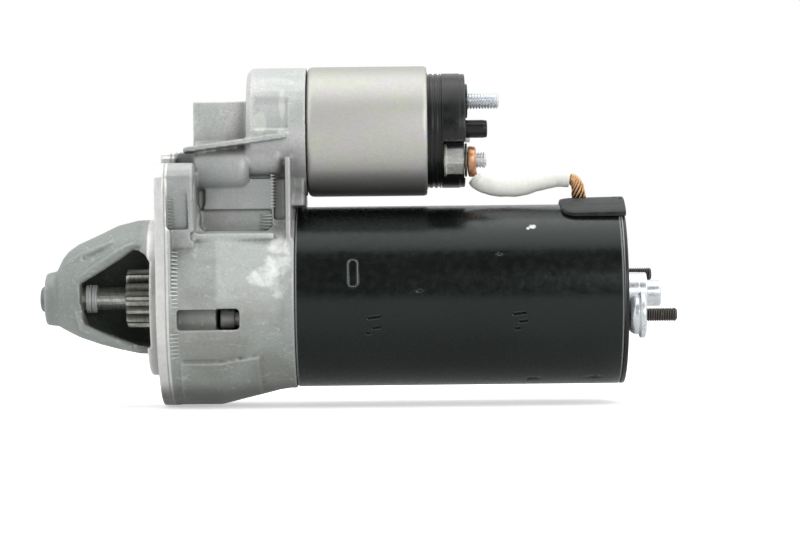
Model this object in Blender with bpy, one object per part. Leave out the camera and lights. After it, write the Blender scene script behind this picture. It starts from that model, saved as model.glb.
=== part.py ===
"""Starter motor: planetary-reduction motor, overrunning pinion drive and shift solenoid.

All sizes are in millimetres and MM turns them into metres. The motor axis is X, with +X
towards the commutator end; the solenoid lies above it, along +Z. The origin is the point
where the motor axis meets the front face of the mounting flange.
"""

import math

import bmesh
import bpy
from mathutils import Matrix, Vector

MM = 0.001
GAP = 0.3  # clearance between touching pieces
TURN = 2 * math.pi

# Mounting flange and housing
FLANGE_R = 46.3
FLANGE_T = 6.5
PILOT_R = 33.3
PILOT_X = -5.5
CASE_END = 57.5
EAR_HOLE_R = 5.25
NEAR_EAR_R = 10.6
EAR_R = 11.0
NEAR_EAR = (-40.0, 46.4)  # y, z of the mounting holes
FAR_EAR = (30.0, 53.4)
LOW_EAR = (50.0, -31.0)
NEAR_EAR_T = 16.0
FAR_EAR_T = 14.0
NOSE_X = -50.9
# x, centre height and radius of the nose cone's sections
NOSE_SECTIONS = (
    (NOSE_X, 0.0, 10.6),
    (-50.2, 0.0, 11.2),
    (-46.0, 0.3, 11.8),
    (-43.5, 2.2, 15.2),
    (-41.0, 3.1, 17.5),
    (-36.7, 3.5, 20.1),
    (-28.0, 3.9, 23.6),
    (-19.4, 4.8, 26.8),
    (-10.7, 4.9, 28.8),
    (2.0, 4.9, 29.2),
)
NOSE_CAVITY = (
    (-35.5, 1.0, 11.0),
    (-28.0, 3.9, 19.4),
    (-19.4, 4.8, 22.6),
    (-10.7, 4.9, 24.6),
    (-1.0, 4.9, 24.6),
)
NOSE_BORE_R = 7.5
NOSE_CAP_R = 5.85
# x and z of the window that lets the flywheel's ring gear reach the pinion
WINDOW = (
    (-34.3, 7.2),
    (-34.3, -2.0),
    (-31.9, -11.6),
    (-10.1, -20.0),
    (-4.0, -20.9),
    (-4.0, 15.5),
    (-5.6, 18.0),
    (-8.6, 20.4),
    (-11.8, 21.0),
    (-14.2, 20.4),
    (-16.0, 19.0),
)
CASE_DROP = -0.7  # the gear case's section is centred a little under the axis
CASE_PROFILE = ((2.0, 45.4), (25.0, 45.4), (33.0, 43.4), (42.0, 41.3), (50.0, 39.3), (53.6, 38.8))
RIM_R = 39.4
DRIVE_BORE_R = 21.6
GEAR_BORE_R = 26.3
GEAR_BORE_X = 38.5

# Solenoid
SOL_Z = 71.1
SOL_R = 28.0
SOL_X = (62.8, 114.2)
SEAT_X = (37.2, 62.5)
SEAT_R = 27.8
LEVER_BOX_X = (14.3, 37.6)
LEVER_BOX_TOP = 83.9
CAP_R = 24.7
CAP_END = 130.5
STUD_OFFSET = 12.75
STUD_R = 3.85
BATTERY_END = 145.4
MOTOR_STUD_END = 139.8
RECESS_X = 121.0  # the terminal recess in the cover starts here
RECESS_Z = (50.6, 66.1)
CONTROL_END = 140.3
CONTROL_Z = 71.8
CONTROL_R = 3.9
PAD_R = 7.4

# Shift linkage: the plunger's travel turns the lever, which slides the pinion drive
PIVOT = (22.5, 40.5)  # x, z of the lever's pin
PINION_TRAVEL = 12.7
HOOK_X = 25.0
GROOVE_X = 28.85
PLUNGER_R = 10.3
PIN_R = 2.8
PIN_HOLE_R = 3.1

# Gear train: sun on the armature shaft, three planets on the carrier, fixed ring
MODULE = 0.86
SUN_TEETH, PLANET_TEETH, RING_TEETH = 11, 22, 55
PLANET_COUNT = 3
PLANET_ORBIT = MODULE * (SUN_TEETH + PLANET_TEETH) / 2
GEAR_X = (41.4, 54.4)
PINION_TEETH = 13
PINION_R = 12.6
PINION_X = (-15.9, -1.5)
SHAFT_R = 4.9
SPLINE_R = 6.0
STOP_R = 6.1
RACE_R = 9.3

# Motor
YOKE_R = 38.75
YOKE_WALL = 2.7
YOKE_X = (57.8, 196.0)
MAGNET_COUNT = 6
MAGNET_R = (27.4, 35.6)
ARMATURE_R = 26.4
ARMATURE_X = (84.0, 146.0)
COMMUTATOR_R = 14.5
BRUSH_COUNT = 4
BRUSH_X = (165.0, 175.0)
END_X = 198.2
DRUM_R, DRUM_X = 9.1, 208.3
# y, z, rear end of the two through-bolts
NEAR_BOLT = (-28.7, -8.8, 218.8)
FAR_BOLT = (28.7, 8.1, 213.1)
BOLT_R = 2.9
BOLT_HEAD_R = 4.1
BOLT_SLOT = 4.4  # half the height of the slots that the bolts' heads lie in

# Lead from the solenoid's motor terminal to the brushes: x, y, z along its centre
SLEEVE_ROUTE = (
    (134.6, -1.6, 50.2),
    (136.4, -2.4, 48.4),
    (139.8, -3.2, 46.9),
    (145.7, -4.2, 45.6),
    (154.4, -4.6, 45.9),
    (163.0, -4.2, 48.2),
    (169.5, -3.4, 49.5),
    (174.6, -2.6, 49.8),
)
BRAID_ROUTE = ((176.0, -2.4, 49.7), (177.5, -2.3, 49.0), (178.9, -2.2, 46.4), (179.6, -2.0, 41.3))
SLEEVE_R = 3.35
BRAID_R = 2.3
GROMMET_X = (171.2, 198.4)
GROMMET_R = (39.1, 40.9)


def clear_scene():
    for obj in list(bpy.data.objects):
        bpy.data.objects.remove(obj, do_unlink=True)


def material(name, color, roughness, metallic):
    """A Principled material in the sub-part's own colour."""
    mat = bpy.data.materials.new(name)
    mat.use_nodes = True
    mat.diffuse_color = (*color, 1.0)
    shader = mat.node_tree.nodes["Principled BSDF"]
    shader.inputs["Base Color"].default_value = (*color, 1.0)
    shader.inputs["Roughness"].default_value = roughness
    shader.inputs["Metallic"].default_value = metallic
    return mat


FINISHES = {
    "cast_aluminium": ((0.55, 0.56, 0.55), 0.55, 0.9),
    "zinc": ((0.72, 0.72, 0.68), 0.3, 1.0),
    "black_paint": ((0.015, 0.015, 0.015), 0.35, 0.0),
    "steel": ((0.5, 0.5, 0.5), 0.3, 1.0),
    "dark_steel": ((0.06, 0.06, 0.06), 0.45, 0.9),
    "ferrite": ((0.05, 0.05, 0.055), 0.6, 0.0),
    "copper": ((0.72, 0.38, 0.22), 0.35, 1.0),
    "bronze": ((0.55, 0.38, 0.2), 0.45, 1.0),
    "black_plastic": ((0.02, 0.02, 0.02), 0.45, 0.0),
    "grey_plastic": ((0.45, 0.46, 0.45), 0.5, 0.0),
    "rubber": ((0.03, 0.03, 0.03), 0.7, 0.0),
    "sleeve": ((0.85, 0.84, 0.8), 0.8, 0.0),
    "carbon": ((0.04, 0.04, 0.04), 0.6, 0.0),
}


def finish_object(name, bm, finish, origin=(0, 0, 0)):
    """Make a node of a bmesh drawn in millimetres round its own origin."""
    bmesh.ops.remove_doubles(bm, verts=bm.verts, dist=1e-5)
    bmesh.ops.recalc_face_normals(bm, faces=bm.faces)
    bmesh.ops.scale(bm, vec=(MM, MM, MM), verts=bm.verts)
    mesh = bpy.data.meshes.new(name)
    bm.to_mesh(mesh)
    bm.free()
    obj = bpy.data.objects.new(name, mesh)
    obj.location = Vector(origin) * MM
    bpy.context.scene.collection.objects.link(obj)
    mesh.materials.append(material(name, *FINISHES[finish]))
    mesh.shade_smooth()
    mesh.set_sharp_from_angle(angle=math.radians(32))
    return obj


def ring_at(bm, x, radius, sides, height=0.0, phase=0.0):
    """A circle of new vertices across X."""
    points = circle(radius, sides, (0.0, height), phase)
    return [bm.verts.new((x, y, z)) for y, z in points]


def bridge_rings(bm, a, b):
    for i in range(len(a)):
        j = (i + 1) % len(a)
        bm.faces.new((a[i], a[j], b[j], b[i]))


def lathe(name, profile, finish, sides=24, origin=(0, 0, 0), phase=0.0):
    """Turn an x, radius outline round X. One that starts and ends on the axis gets flat ends."""
    solid = profile[0][1] == 0
    outline = profile[1:-1] if solid else profile
    bm = bmesh.new()
    rings = [ring_at(bm, x, radius, sides, phase=phase) for x, radius in outline]
    for a, b in zip(rings, rings[1:]):
        bridge_rings(bm, a, b)
    if solid:
        bm.faces.new(rings[0])
        bm.faces.new(rings[-1])
    else:
        bridge_rings(bm, rings[-1], rings[0])
    return finish_object(name, bm, finish, origin)


def rod(name, x0, x1, radius, finish, sides=20, origin=(0, 0, 0), chamfer=0.0, phase=0.0):
    """A solid cylinder along X, with both ends chamfered."""
    profile = [(x0, 0), (x0, radius - chamfer), (x0 + chamfer, radius)]
    profile += [(x1 - chamfer, radius), (x1, radius - chamfer), (x1, 0)]
    if chamfer == 0:
        profile = [(x0, 0), (x0, radius), (x1, radius), (x1, 0)]
    return lathe(name, profile, finish, sides, origin, phase)


def tube(name, x0, x1, inner, outer, finish, sides=24, origin=(0, 0, 0)):
    return lathe(name, [(x0, inner), (x0, outer), (x1, outer), (x1, inner)], finish, sides, origin)


def loft(name, sections, sides=32, finish="cast_aluminium"):
    """Circles along X given as x, centre height and radius, joined and capped."""
    bm = bmesh.new()
    rings = [ring_at(bm, x, radius, sides, height) for x, height, radius in sections]
    for a, b in zip(rings, rings[1:]):
        bridge_rings(bm, a, b)
    bm.faces.new(rings[0])
    bm.faces.new(rings[-1])
    return finish_object(name, bm, finish)


def prism(name, outline, low, high, finish, axis="X", origin=(0, 0, 0), holes=()):
    """Extrude a flat outline from low to high along an axis.

    The outline is y, z pairs along X, x, z pairs along Y, and x, y pairs along Z.
    """
    place = {
        "X": lambda p, d: (d, p[0], p[1]),
        "Y": lambda p, d: (p[0], d, p[1]),
        "Z": lambda p, d: (p[0], p[1], d),
    }[axis]
    bm = bmesh.new()
    loops = [[[bm.verts.new(place(p, d)) for p in loop] for d in (low, high)] for loop in (outline, *holes)]
    for bottom, top in loops:
        for i in range(len(bottom)):
            j = (i + 1) % len(bottom)
            bm.faces.new((bottom[i], bottom[j], top[j], top[i]))
    for side in (0, 1):
        if not holes:
            bm.faces.new(loops[0][side])
            continue
        edges = []
        for loop in loops:
            ring = loop[side]
            edges += [bm.edges.get((ring[i], ring[i - 1])) for i in range(len(ring))]
        bmesh.ops.triangle_fill(bm, edges=edges, use_beauty=True)
    return finish_object(name, bm, finish, origin)


def box(name, x, y, z, finish="cast_aluminium", origin=(0, 0, 0)):
    """A block between pairs of x, y and z."""
    outline = ((y[0], z[0]), (y[1], z[0]), (y[1], z[1]), (y[0], z[1]))
    return prism(name, outline, x[0], x[1], finish, origin=origin)


def circle(radius, count, center=(0, 0), phase=0.0):
    angles = (phase + TURN * i / count for i in range(count))
    return [(center[0] + radius * math.cos(a), center[1] + radius * math.sin(a)) for a in angles]


def hull(points):
    """Convex outline round a set of flat points, by walking the sorted points twice."""
    points = sorted(set(points))

    def half(sequence):
        chain = []
        for p in sequence:
            while len(chain) > 1:
                (ax, ay), (bx, by) = chain[-2], chain[-1]
                if (bx - ax) * (p[1] - ay) - (by - ay) * (p[0] - ax) > 1e-6:
                    break
                chain.pop()
            chain.append(p)
        return chain[:-1]

    return half(points) + half(points[::-1])


def combine(target, tools, operation):
    """Join or cut target with all the tools at once, keep the result and drop the tools."""
    group = bpy.data.collections.new("tools")
    for tool in tools:
        group.objects.link(tool)
    modifier = target.modifiers.new("combine", "BOOLEAN")
    modifier.operation = operation
    modifier.solver = "EXACT"
    modifier.operand_type = "COLLECTION"
    modifier.collection = group
    graph = bpy.context.evaluated_depsgraph_get()
    mesh = bpy.data.meshes.new_from_object(target.evaluated_get(graph))
    target.modifiers.clear()
    target.data = mesh
    for tool in tools:
        bpy.data.objects.remove(tool, do_unlink=True)
    bpy.data.collections.remove(group)
    first = mesh.materials[0]
    mesh.materials.clear()
    mesh.materials.append(first)
    mesh.shade_smooth()
    mesh.set_sharp_from_angle(angle=math.radians(32))
    return target


def add(target, *tools):
    return combine(target, tools, "UNION")


def cut(target, *tools):
    return combine(target, tools, "DIFFERENCE")


def cross_rod(name, reach, radius, finish, chamfer=0.0):
    """A cylinder along Y that reaches equally far to both sides."""
    made = rod(name, -reach, reach, radius, finish, 20, chamfer=chamfer)
    made.data.transform(Matrix.Rotation(TURN / 4, 4, "Z"))
    return made


def bore(x0, x1, radius, y=0.0, z=0.0, sides=18):
    """A cylinder along X to cut a hole with."""
    return rod("cutter", x0, x1, radius, "steel", sides, (0, y, z), phase=0.1)


def gear_outline(teeth, root, tip, root_share, tip_share, phase=0.0):
    """Straight-flanked teeth, each share being a part of the tooth pitch."""
    points = []
    pitch = TURN / teeth
    for i in range(teeth):
        middle = phase + pitch * i
        for radius, share in ((root, -root_share), (tip, -tip_share), (tip, tip_share), (root, root_share)):
            angle = middle + pitch * share / 2
            points.append((radius * math.cos(angle), radius * math.sin(angle)))
    return points


def smooth_route(points, steps=4):
    """A smooth curve through the route's points (Catmull-Rom)."""
    points = [Vector(p) for p in points]
    padded = [2 * points[0] - points[1], *points, 2 * points[-1] - points[-2]]
    curve = []
    for a, b, c, d in zip(padded, padded[1:], padded[2:], padded[3:]):
        for k in range(steps):
            t = k / steps
            bend = (2 * a - 5 * b + 4 * c - d) * t * t + (3 * b - a - 3 * c + d) * t**3
            curve.append(0.5 * (2 * b + (c - a) * t + bend))
    curve.append(points[-1])
    return curve


def cord(name, route, radius, finish):
    """A round cord as a curve with a bevel and filled caps."""
    curve = bpy.data.curves.new(name, "CURVE")
    curve.dimensions = "3D"
    curve.bevel_depth = radius * MM
    curve.bevel_resolution = 2
    curve.use_fill_caps = True
    spline = curve.splines.new("POLY")
    spline.points.add(len(route) - 1)
    for point, place in zip(spline.points, route):
        point.co = (*(place * MM), 1.0)
    curve.materials.append(material(name, *FINISHES[finish]))
    obj = bpy.data.objects.new(name, curve)
    bpy.context.scene.collection.objects.link(obj)
    return obj


def nose_and_flange():
    """The nose cone, the pilot and the flange with its three ears."""
    housing = loft("drive_end_housing", NOSE_SECTIONS)
    near = circle(NEAR_EAR_R, 16, NEAR_EAR)
    far, low = circle(EAR_R, 16, FAR_EAR), circle(EAR_R, 16, LOW_EAR)
    flange = prism("flange", hull(circle(FLANGE_R, 48) + near + far + low), 0.0, FLANGE_T, "cast_aluminium")
    pilot_outline = [(PILOT_X, 0), (PILOT_X, PILOT_R - 0.6), (PILOT_X + 0.6, PILOT_R), (1, PILOT_R), (1, 0)]
    pilot = lathe("pilot", pilot_outline, "cast_aluminium", 48)
    foot_r = 9.0  # each ear's boss runs down into the case over a foot
    near_boss = hull(near + circle(foot_r, 12, (-34.0, 26.0)) + circle(foot_r, 12, (-24.0, 40.0)))
    far_boss = hull(far + circle(foot_r, 12, (22.0, 34.0)))
    low_boss = hull(low + circle(foot_r, 12, (34.0, -20.0)))
    return add(
        housing,
        pilot,
        flange,
        prism("near_boss", near_boss, 0.5, NEAR_EAR_T, "cast_aluminium"),
        prism("far_boss", far_boss, 0.4, FAR_EAR_T, "cast_aluminium"),
        prism("low_boss", low_boss, 0.3, FAR_EAR_T, "cast_aluminium"),
    )


def gear_case():
    """The barrel round the drive and the gear train, with the rim that takes the yoke."""
    x0, x1 = CASE_PROFILE[0][0], CASE_PROFILE[-1][0]
    profile = [(x0, 0), *CASE_PROFILE, (x1, 0)]
    case = lathe("gear_case", profile, "cast_aluminium", 48, (0, 0, CASE_DROP))
    rim = [(52.6, 0), (52.6, RIM_R - 0.5), (53.2, RIM_R), (CASE_END, RIM_R), (CASE_END, 0)]
    return add(case, lathe("rim", rim, "cast_aluminium", 48))


def upper_housing():
    """The lever box, the solenoid's seat and the webs, ribs and bulges round them."""
    web = box("web", (9.0, 56.8), (-23.5, 23.5), (18.0, 50.5))
    lever_box = box("lever_box", LEVER_BOX_X, (-16.5, 16.5), (30.0, LEVER_BOX_TOP))
    x0, x1 = SEAT_X
    seat_outline = [(x0, 0), (x0, SEAT_R - 2.2), (x0 + 2.2, SEAT_R), (x1, SEAT_R), (x1, 0)]
    seat = lathe("seat", seat_outline, "cast_aluminium", 40, (0, 0, SOL_Z))
    neck = box("neck", (36.0, 60.5), (-16.0, 16.0), (39.3, 58.0))
    parts = [lever_box, seat, neck]
    for side in (-1, 1):
        middle, small = (side * 17.0, 56.8), (side * 14.6, 59.4)
        parts.append(rod("bulge", 15.2, 38.2, 9.6, "cast_aluminium", 20, (0, *middle), 1.0))
        parts.append(rod("small_bulge", 37.0, 56.2, 8.4, "cast_aluminium", 20, (0, *small), 1.0))
        parts.append(box("upright_rib", (53.9, 56.1), sorted((side * 12.0, side * 31.5)), (29.0, 59.5)))
        parts.append(box("ledge", (12.0, 50.0), sorted((side * 20.0, side * 26.5)), (35.9, 38.6)))
        parts.append(box("shelf", (2.0, 49.0), sorted((side * 30.0, side * 40.2)), (24.8, 27.4)))
        lug = [(side * 10.0, 38.6), (side * 22.0, 38.6), (side * 19.0, 50.0), (side * 10.0, 58.0)]
        parts.append(prism("lug", lug, 55.0, 61.5, "cast_aluminium"))
        rib = [(10.6, 61.6), (54.4, 67.4), (54.4, 69.8), (10.6, 64.0)]
        low, high = sorted((side * 12.0, side * 27.6))
        parts.append(prism("sloping_rib", rib, low, high, "cast_aluminium", axis="Y"))
    return add(web, *parts)


def hollow_out(housing):
    """Cut the bores, the lever chamber, the window and the outside pockets."""
    cuts = [
        loft("nose_cavity", NOSE_CAVITY),
        prism("window", WINDOW, -60.0, -2.0, "steel", axis="Y"),
        bore(-60.0, -49.4, NOSE_CAP_R + GAP),
        bore(-49.6, -30.0, NOSE_BORE_R, sides=24),
        bore(-4.0, GEAR_BORE_X + 1, DRIVE_BORE_R, sides=32),
        bore(GEAR_BORE_X, CASE_END + 5, GEAR_BORE_R, sides=40),
        box("fork_chamber", (10.0, 37.0), (-20.3, 20.3), (-6.5, 29.0)),
        box("lever_chamber", (17.3, 40.0), (-9.5, 9.5), (15.0, 79.0)),
        bore(36.0, 47.0, 12.2, z=SOL_Z, sides=24),
        bore(46.0, 70.0, 20.0, z=SOL_Z, sides=28),
        box("ear_panel", (3.9, 17.0), (-60.0, -49.4), (30.0, 56.0)),
    ]
    pivot_hole = cross_rod("pivot_hole", 16.4, PIN_HOLE_R, "steel")
    pivot_hole.location = (PIVOT[0] * MM, 0, PIVOT[1] * MM)
    cuts.append(pivot_hole)
    for y, z in (NEAR_EAR, FAR_EAR, LOW_EAR):
        cuts.append(bore(-5.0, 30.0, EAR_HOLE_R, y, z, 20))
    for y, z, _ in (NEAR_BOLT, FAR_BOLT):
        side = -1 if y < 0 else 1
        low, high = sorted((side * 24.4, side * 60.0))
        cuts.append(bore(30.0, CASE_END + 5, BOLT_R + GAP, y, z))
        corner = BOLT_SLOT - 0.8
        pocket = [(24.6, z - BOLT_SLOT), (33.6, z - BOLT_SLOT), (34.4, z - corner), (34.4, z + corner)]
        pocket += [(33.6, z + BOLT_SLOT), (24.6, z + BOLT_SLOT)]
        cuts.append(prism("bolt_pocket", pocket, low, high, "steel", axis="Y"))
        cuts.append(rod("bolt_channel", 8.6, 25.0, BOLT_SLOT, "steel", 16, (0, side * 43.2, z)))
    for side in (-1, 1):
        low, high = sorted((side * 24.0, side * 40.0))
        cuts.append(box("seat_recess", (39.8, 55.2), (low, high), (71.0, 88.5)))
    return cut(housing, *cuts)


def make_housing():
    housing = add(nose_and_flange(), gear_case(), upper_housing())
    housing.name = "drive_end_housing"
    return hollow_out(housing)


def make_nose_parts():
    cap = [(-53.4, 0), (-53.4, NOSE_CAP_R - 1.0), (-52.7, NOSE_CAP_R), (-49.9, NOSE_CAP_R), (-49.9, 0)]
    lathe("nose_cap", cap, "dark_steel", 24)
    tube("nose_bushing", -49.2, -36.2, SHAFT_R + 0.2, NOSE_BORE_R - GAP, "bronze")
    tube("stop_collar", -31.0, -28.9, SHAFT_R + 0.15, STOP_R, "steel")
    tube("stop_snap_ring", -33.6, -31.3, SHAFT_R + 0.15, STOP_R, "steel")


def make_drive_shaft():
    """The output shaft, with its splined stretch and the planet carrier's disc."""
    profile = [
        (-49.2, 0),
        (-49.2, SHAFT_R - 0.6),
        (-48.6, SHAFT_R),
        (-3.0, SHAFT_R),
        (-2.0, SPLINE_R),
        (36.6, SPLINE_R),
        (36.6, 18.6),
        (39.8, 18.6),
        (39.8, 0),
    ]
    shaft = lathe("drive_shaft", profile, "steel", 24)
    for i in range(PLANET_COUNT):
        angle = TURN * i / PLANET_COUNT + TURN / 4
        y, z = PLANET_ORBIT * math.cos(angle), PLANET_ORBIT * math.sin(angle)
        cut(shaft, bore(30.0, 45.0, 2.9, y, z, 12))
        rod(f"planet_pin_{i + 1}", 37.0, 54.6, 2.55, "steel", 12, (0, y, z))


def make_gear_train():
    """Ring, planets and sun in mesh; a tooth of one faces a gap of the other."""
    rim = MODULE * RING_TEETH / 2
    first_angle = TURN / 4
    for i in range(PLANET_COUNT):
        angle = TURN * i / PLANET_COUNT + first_angle
        sun_phase = -angle * SUN_TEETH / TURN
        turn = angle + math.pi - TURN / PLANET_TEETH * (sun_phase + 0.5)
        pitch = MODULE * PLANET_TEETH / 2
        outline = gear_outline(PLANET_TEETH, pitch - MODULE, pitch + 0.8 * MODULE, 0.62, 0.2, turn)
        origin = (0, PLANET_ORBIT * math.cos(angle), PLANET_ORBIT * math.sin(angle))
        bore_loop = circle(2.85, 12)
        prism(f"planet_gear_{i + 1}", outline, *GEAR_X, "steel", origin=origin, holes=(bore_loop,))
        if i == 0:
            planet_phase = (turn - angle) * PLANET_TEETH / TURN
            ring_turn = angle + TURN / RING_TEETH * (planet_phase + 0.5)
    teeth = gear_outline(RING_TEETH, rim + MODULE, rim - 0.8 * MODULE, 0.62, 0.2, ring_turn)
    prism("ring_gear", circle(26.0, 40), 40.6, 57.2, "steel", holes=(teeth,))
    pitch = MODULE * SUN_TEETH / 2
    sun = gear_outline(SUN_TEETH, pitch - MODULE, pitch + 0.8 * MODULE, 0.62, 0.2)
    return prism("armature_shaft", sun, 41.0, 56.0, "steel")


def make_armature(sun):
    """The armature shaft with its cut sun gear, the laminated core, windings and commutator."""
    shaft = [(55.4, 0), (55.4, 5.1), (66.0, 5.1), (66.0, 7.5), (183.0, 7.5)]
    shaft += [(183.0, 4.4), (205.5, 4.4), (205.5, 0)]
    add(sun, lathe("shaft_body", shaft, "steel"))
    x0, x1 = ARMATURE_X
    slots = gear_outline(19, 22.5, ARMATURE_R, 0.5, 0.8)
    prism("armature_core", slots, x0, x1, "dark_steel", holes=(circle(7.8, 16),))
    front = [(69.5, 10.0), (69.5, 15.0), (74.0, 24.0), (83.7, 24.4), (83.7, 10.0)]
    rear = [(146.3, 10.0), (146.3, 24.4), (155.0, 23.0), (160.0, 15.5), (160.0, 10.0)]
    lathe("armature_winding_front", front, "copper", 24)
    lathe("armature_winding_rear", rear, "copper", 24)
    tube("commutator", 161.0, 178.0, 7.8, COMMUTATOR_R, "copper", 28)


def make_pinion_drive():
    """The pinion with its inner race, and the clutch shell with the fork's groove."""
    teeth = gear_outline(PINION_TEETH, 9.0, PINION_R, 0.72, 0.34, TURN / PINION_TEETH / 2)
    bore_front = circle(SHAFT_R + 0.25, 24)
    pinion = prism("pinion", teeth, *PINION_X, "steel", holes=(bore_front,))
    inner = SHAFT_R + 0.25
    race = [(-3.0, inner), (-3.0, 8.4), (7.0, 8.4), (7.0, RACE_R), (19.6, RACE_R), (19.6, inner)]
    add(pinion, lathe("race", race, "steel"))
    cut(pinion, bore(-4.0, 30.0, SPLINE_R + 0.35, sides=24))
    shell = [
        (6.5, 9.8),
        (6.5, 19.5),
        (24.8, 19.5),
        (24.8, 15.0),
        (26.0, 15.0),
        (26.0, 10.0),
        (31.7, 10.0),
        (31.7, 15.0),
        (34.0, 15.0),
        (34.0, SPLINE_R + 0.35),
        (20.4, SPLINE_R + 0.35),
        (20.4, 13.8),
        (9.4, 13.8),
        (9.4, 9.8),
    ]
    lathe("clutch_shell", shell, "steel", 24)


def make_lever():
    """The forked shift lever, drawn round its pivot pin, and the pin."""
    px, pz = PIVOT
    lever = cross_rod("shift_lever", 5.5, 5.2, "black_plastic")
    hook, groove = HOOK_X - px, GROOVE_X - px
    top = SOL_Z - pz
    arm = [(-1.8, 2.0), (2.2, 2.0), (hook + 1.6, top), (hook - 1.6, top)]
    knuckle = circle(2.6, 16, (hook, top))
    stem = [(-2.4, 0), (2.4, 0), (4.6, -14.0), (0.0, -14.0)]
    bridge = [(0.0, -12.4), (4.4, -12.4), (5.4, -19.0), (1.0, -19.0)]
    parts = [
        prism("arm", arm, -2.4, 2.4, "steel", axis="Y"),
        prism("knuckle", knuckle, -2.5, 2.5, "steel", axis="Y"),
        prism("stem", stem, -5.0, 5.0, "steel", axis="Y"),
        prism("bridge", bridge, -19.4, 19.4, "steel", axis="Y"),
    ]
    for side in (-1, 1):
        low, high = sorted((side * 16.2, side * 19.2))
        limb = [(0.4, -14.0), (4.6, -14.0), (groove + 2.0, -pz - 2.0), (groove - 2.0, -pz - 2.0)]
        parts.append(prism("limb", limb, low, high, "steel", axis="Y"))
        low, high = sorted((side * 11.0, side * 17.0))
        parts.append(prism("pad", circle(2.3, 14, (groove, -pz)), low, high, "steel", axis="Y"))
    add(lever, *parts)
    cut(lever, cross_rod("hole", 9.0, PIN_HOLE_R, "steel"))
    pin = cross_rod("lever_pivot_pin", 15.8, PIN_R, "steel", 0.4)
    for piece in (lever, pin):
        piece.location = (px * MM, 0, pz * MM)


def make_solenoid():
    """Can, coil, fixed core, plunger, spring, push rod and contact bridge."""
    axis = (0, 0, SOL_Z)
    x0, x1 = SOL_X
    can = [(x0, 10.8), (x0, SOL_R - 1.0), (x0 + 1.0, SOL_R), (x1 - 1.0, SOL_R), (x1, SOL_R - 1.0)]
    can += [(x1, 25.5), (66.8, 25.5), (66.8, 10.8)]
    lathe("solenoid_can", can, "zinc", 40, axis)
    tube("solenoid_coil", 67.2, 105.6, 10.9, 25.0, "copper", 28, axis)
    core = [(92.6, 2.7), (92.6, 10.3), (106.0, 10.3), (106.0, 25.1), (110.5, 25.1), (110.5, 2.7)]
    lathe("fixed_core", core, "steel", 28, axis)
    plunger = [(18.0, 0), (18.0, 5.4), (18.6, 6.0), (46.8, 6.0), (46.8, 16.0), (48.2, 16.0)]
    plunger += [(48.2, PLUNGER_R), (82.6, PLUNGER_R), (82.6, 0)]
    slot = box("hook_slot", (HOOK_X - 4.6, HOOK_X + 4.6), (-2.8, 2.8), (SOL_Z - 10, SOL_Z + 10))
    cut(lathe("plunger", plunger, "steel", 24, axis), slot)
    rod("push_rod", 90.0, 111.2, 2.3, "black_plastic", 16, axis, 0.3)
    reach = STUD_OFFSET + 5.8
    box("contact_bridge", (111.6, 114.2), (-6.0, 6.0), (-reach, reach), "copper", axis)
    turns, per_turn = 3, 10
    coil = []
    for i in range(turns * per_turn + 1):
        angle = TURN * i / per_turn
        share = i / (turns * per_turn)
        radius = 13.5 - share
        coil.append(Vector((49.2 + 12.4 * share, radius * math.cos(angle), SOL_Z + radius * math.sin(angle))))
    cord("plunger_spring", coil, 0.7, "steel")


def make_switch_cover():
    """The moulded cover over the contacts, with its ribbed band and the terminal recess."""
    axis = (0, 0, SOL_Z)
    profile = [(111.0, 20.6), (111.0, 25.1), (114.6, 25.1), (114.6, CAP_R), (CAP_END - 1.0, CAP_R)]
    profile += [(CAP_END, CAP_R - 1.0), (CAP_END, 0), (119.8, 0), (119.8, 20.6)]
    cover = lathe("switch_cover", profile, "black_plastic", 40, axis)
    for side in (-1, 1):
        cut(cover, bore(118.0, 140.0, STUD_R + GAP, z=SOL_Z + side * STUD_OFFSET))
    cut(cover, box("terminal_recess", (RECESS_X, 140.0), (-40.0, 8.4), RECESS_Z))


def make_terminals():
    """Battery and motor studs with their pads, nut and washer, and the control terminal."""
    upper, lower = (0, 0, SOL_Z + STUD_OFFSET), (0, 0, SOL_Z - STUD_OFFSET)
    for name, end, place in (("battery_stud", BATTERY_END, upper), ("motor_stud", MOTOR_STUD_END, lower)):
        profile = [(116.7, 0), (116.7, 5.6), (119.5, 5.6), (119.5, STUD_R)]
        profile += [(end - 1.0, STUD_R), (end, STUD_R - 1.0), (end, 0)]
        lathe(name, profile, "zinc", 20, place)
    face = CAP_END + GAP
    tube("battery_stud_pad", face, 132.4, STUD_R + GAP, PAD_R, "black_plastic", 20, upper)
    stud_hole = circle(STUD_R + GAP, 20)
    prism("motor_stud_nut", circle(6.5, 6), 121.4, 130.2, "zinc", origin=lower, holes=(stud_hole,))
    tube("motor_stud_washer", 130.5, 131.4, STUD_R + GAP, PAD_R, "zinc", 20, lower)
    rod("control_terminal", face, CONTROL_END, CONTROL_R, "black_plastic", 20, (0, 0, CONTROL_Z), 0.5)
    box("control_tab", (face, 132.6), (-8.0, 2.0), (66.1, 67.5), "grey_plastic")


def make_lead():
    """The lug on the motor stud, the sleeved lead and its bare end in the grommet."""
    outline = hull(circle(6.2, 20) + circle(2.4, 10, (-1.0, -4.6)))
    place, hole = (0, 0, SOL_Z - STUD_OFFSET), circle(STUD_R + GAP, 20)
    prism("lead_lug", outline, 131.7, 134.0, "copper", origin=place, holes=(hole,))
    cord("lead_sleeve", smooth_route(SLEEVE_ROUTE), SLEEVE_R, "sleeve")
    cord("motor_lead", smooth_route(BRAID_ROUTE), BRAID_R, "copper")


def arc(radius, start, stop, steps):
    """Points on a circle in degrees measured from straight up towards -y."""
    angles = (math.radians(start + (stop - start) * i / steps) for i in range(steps + 1))
    return [(-radius * math.sin(a), radius * math.cos(a)) for a in angles]


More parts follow.
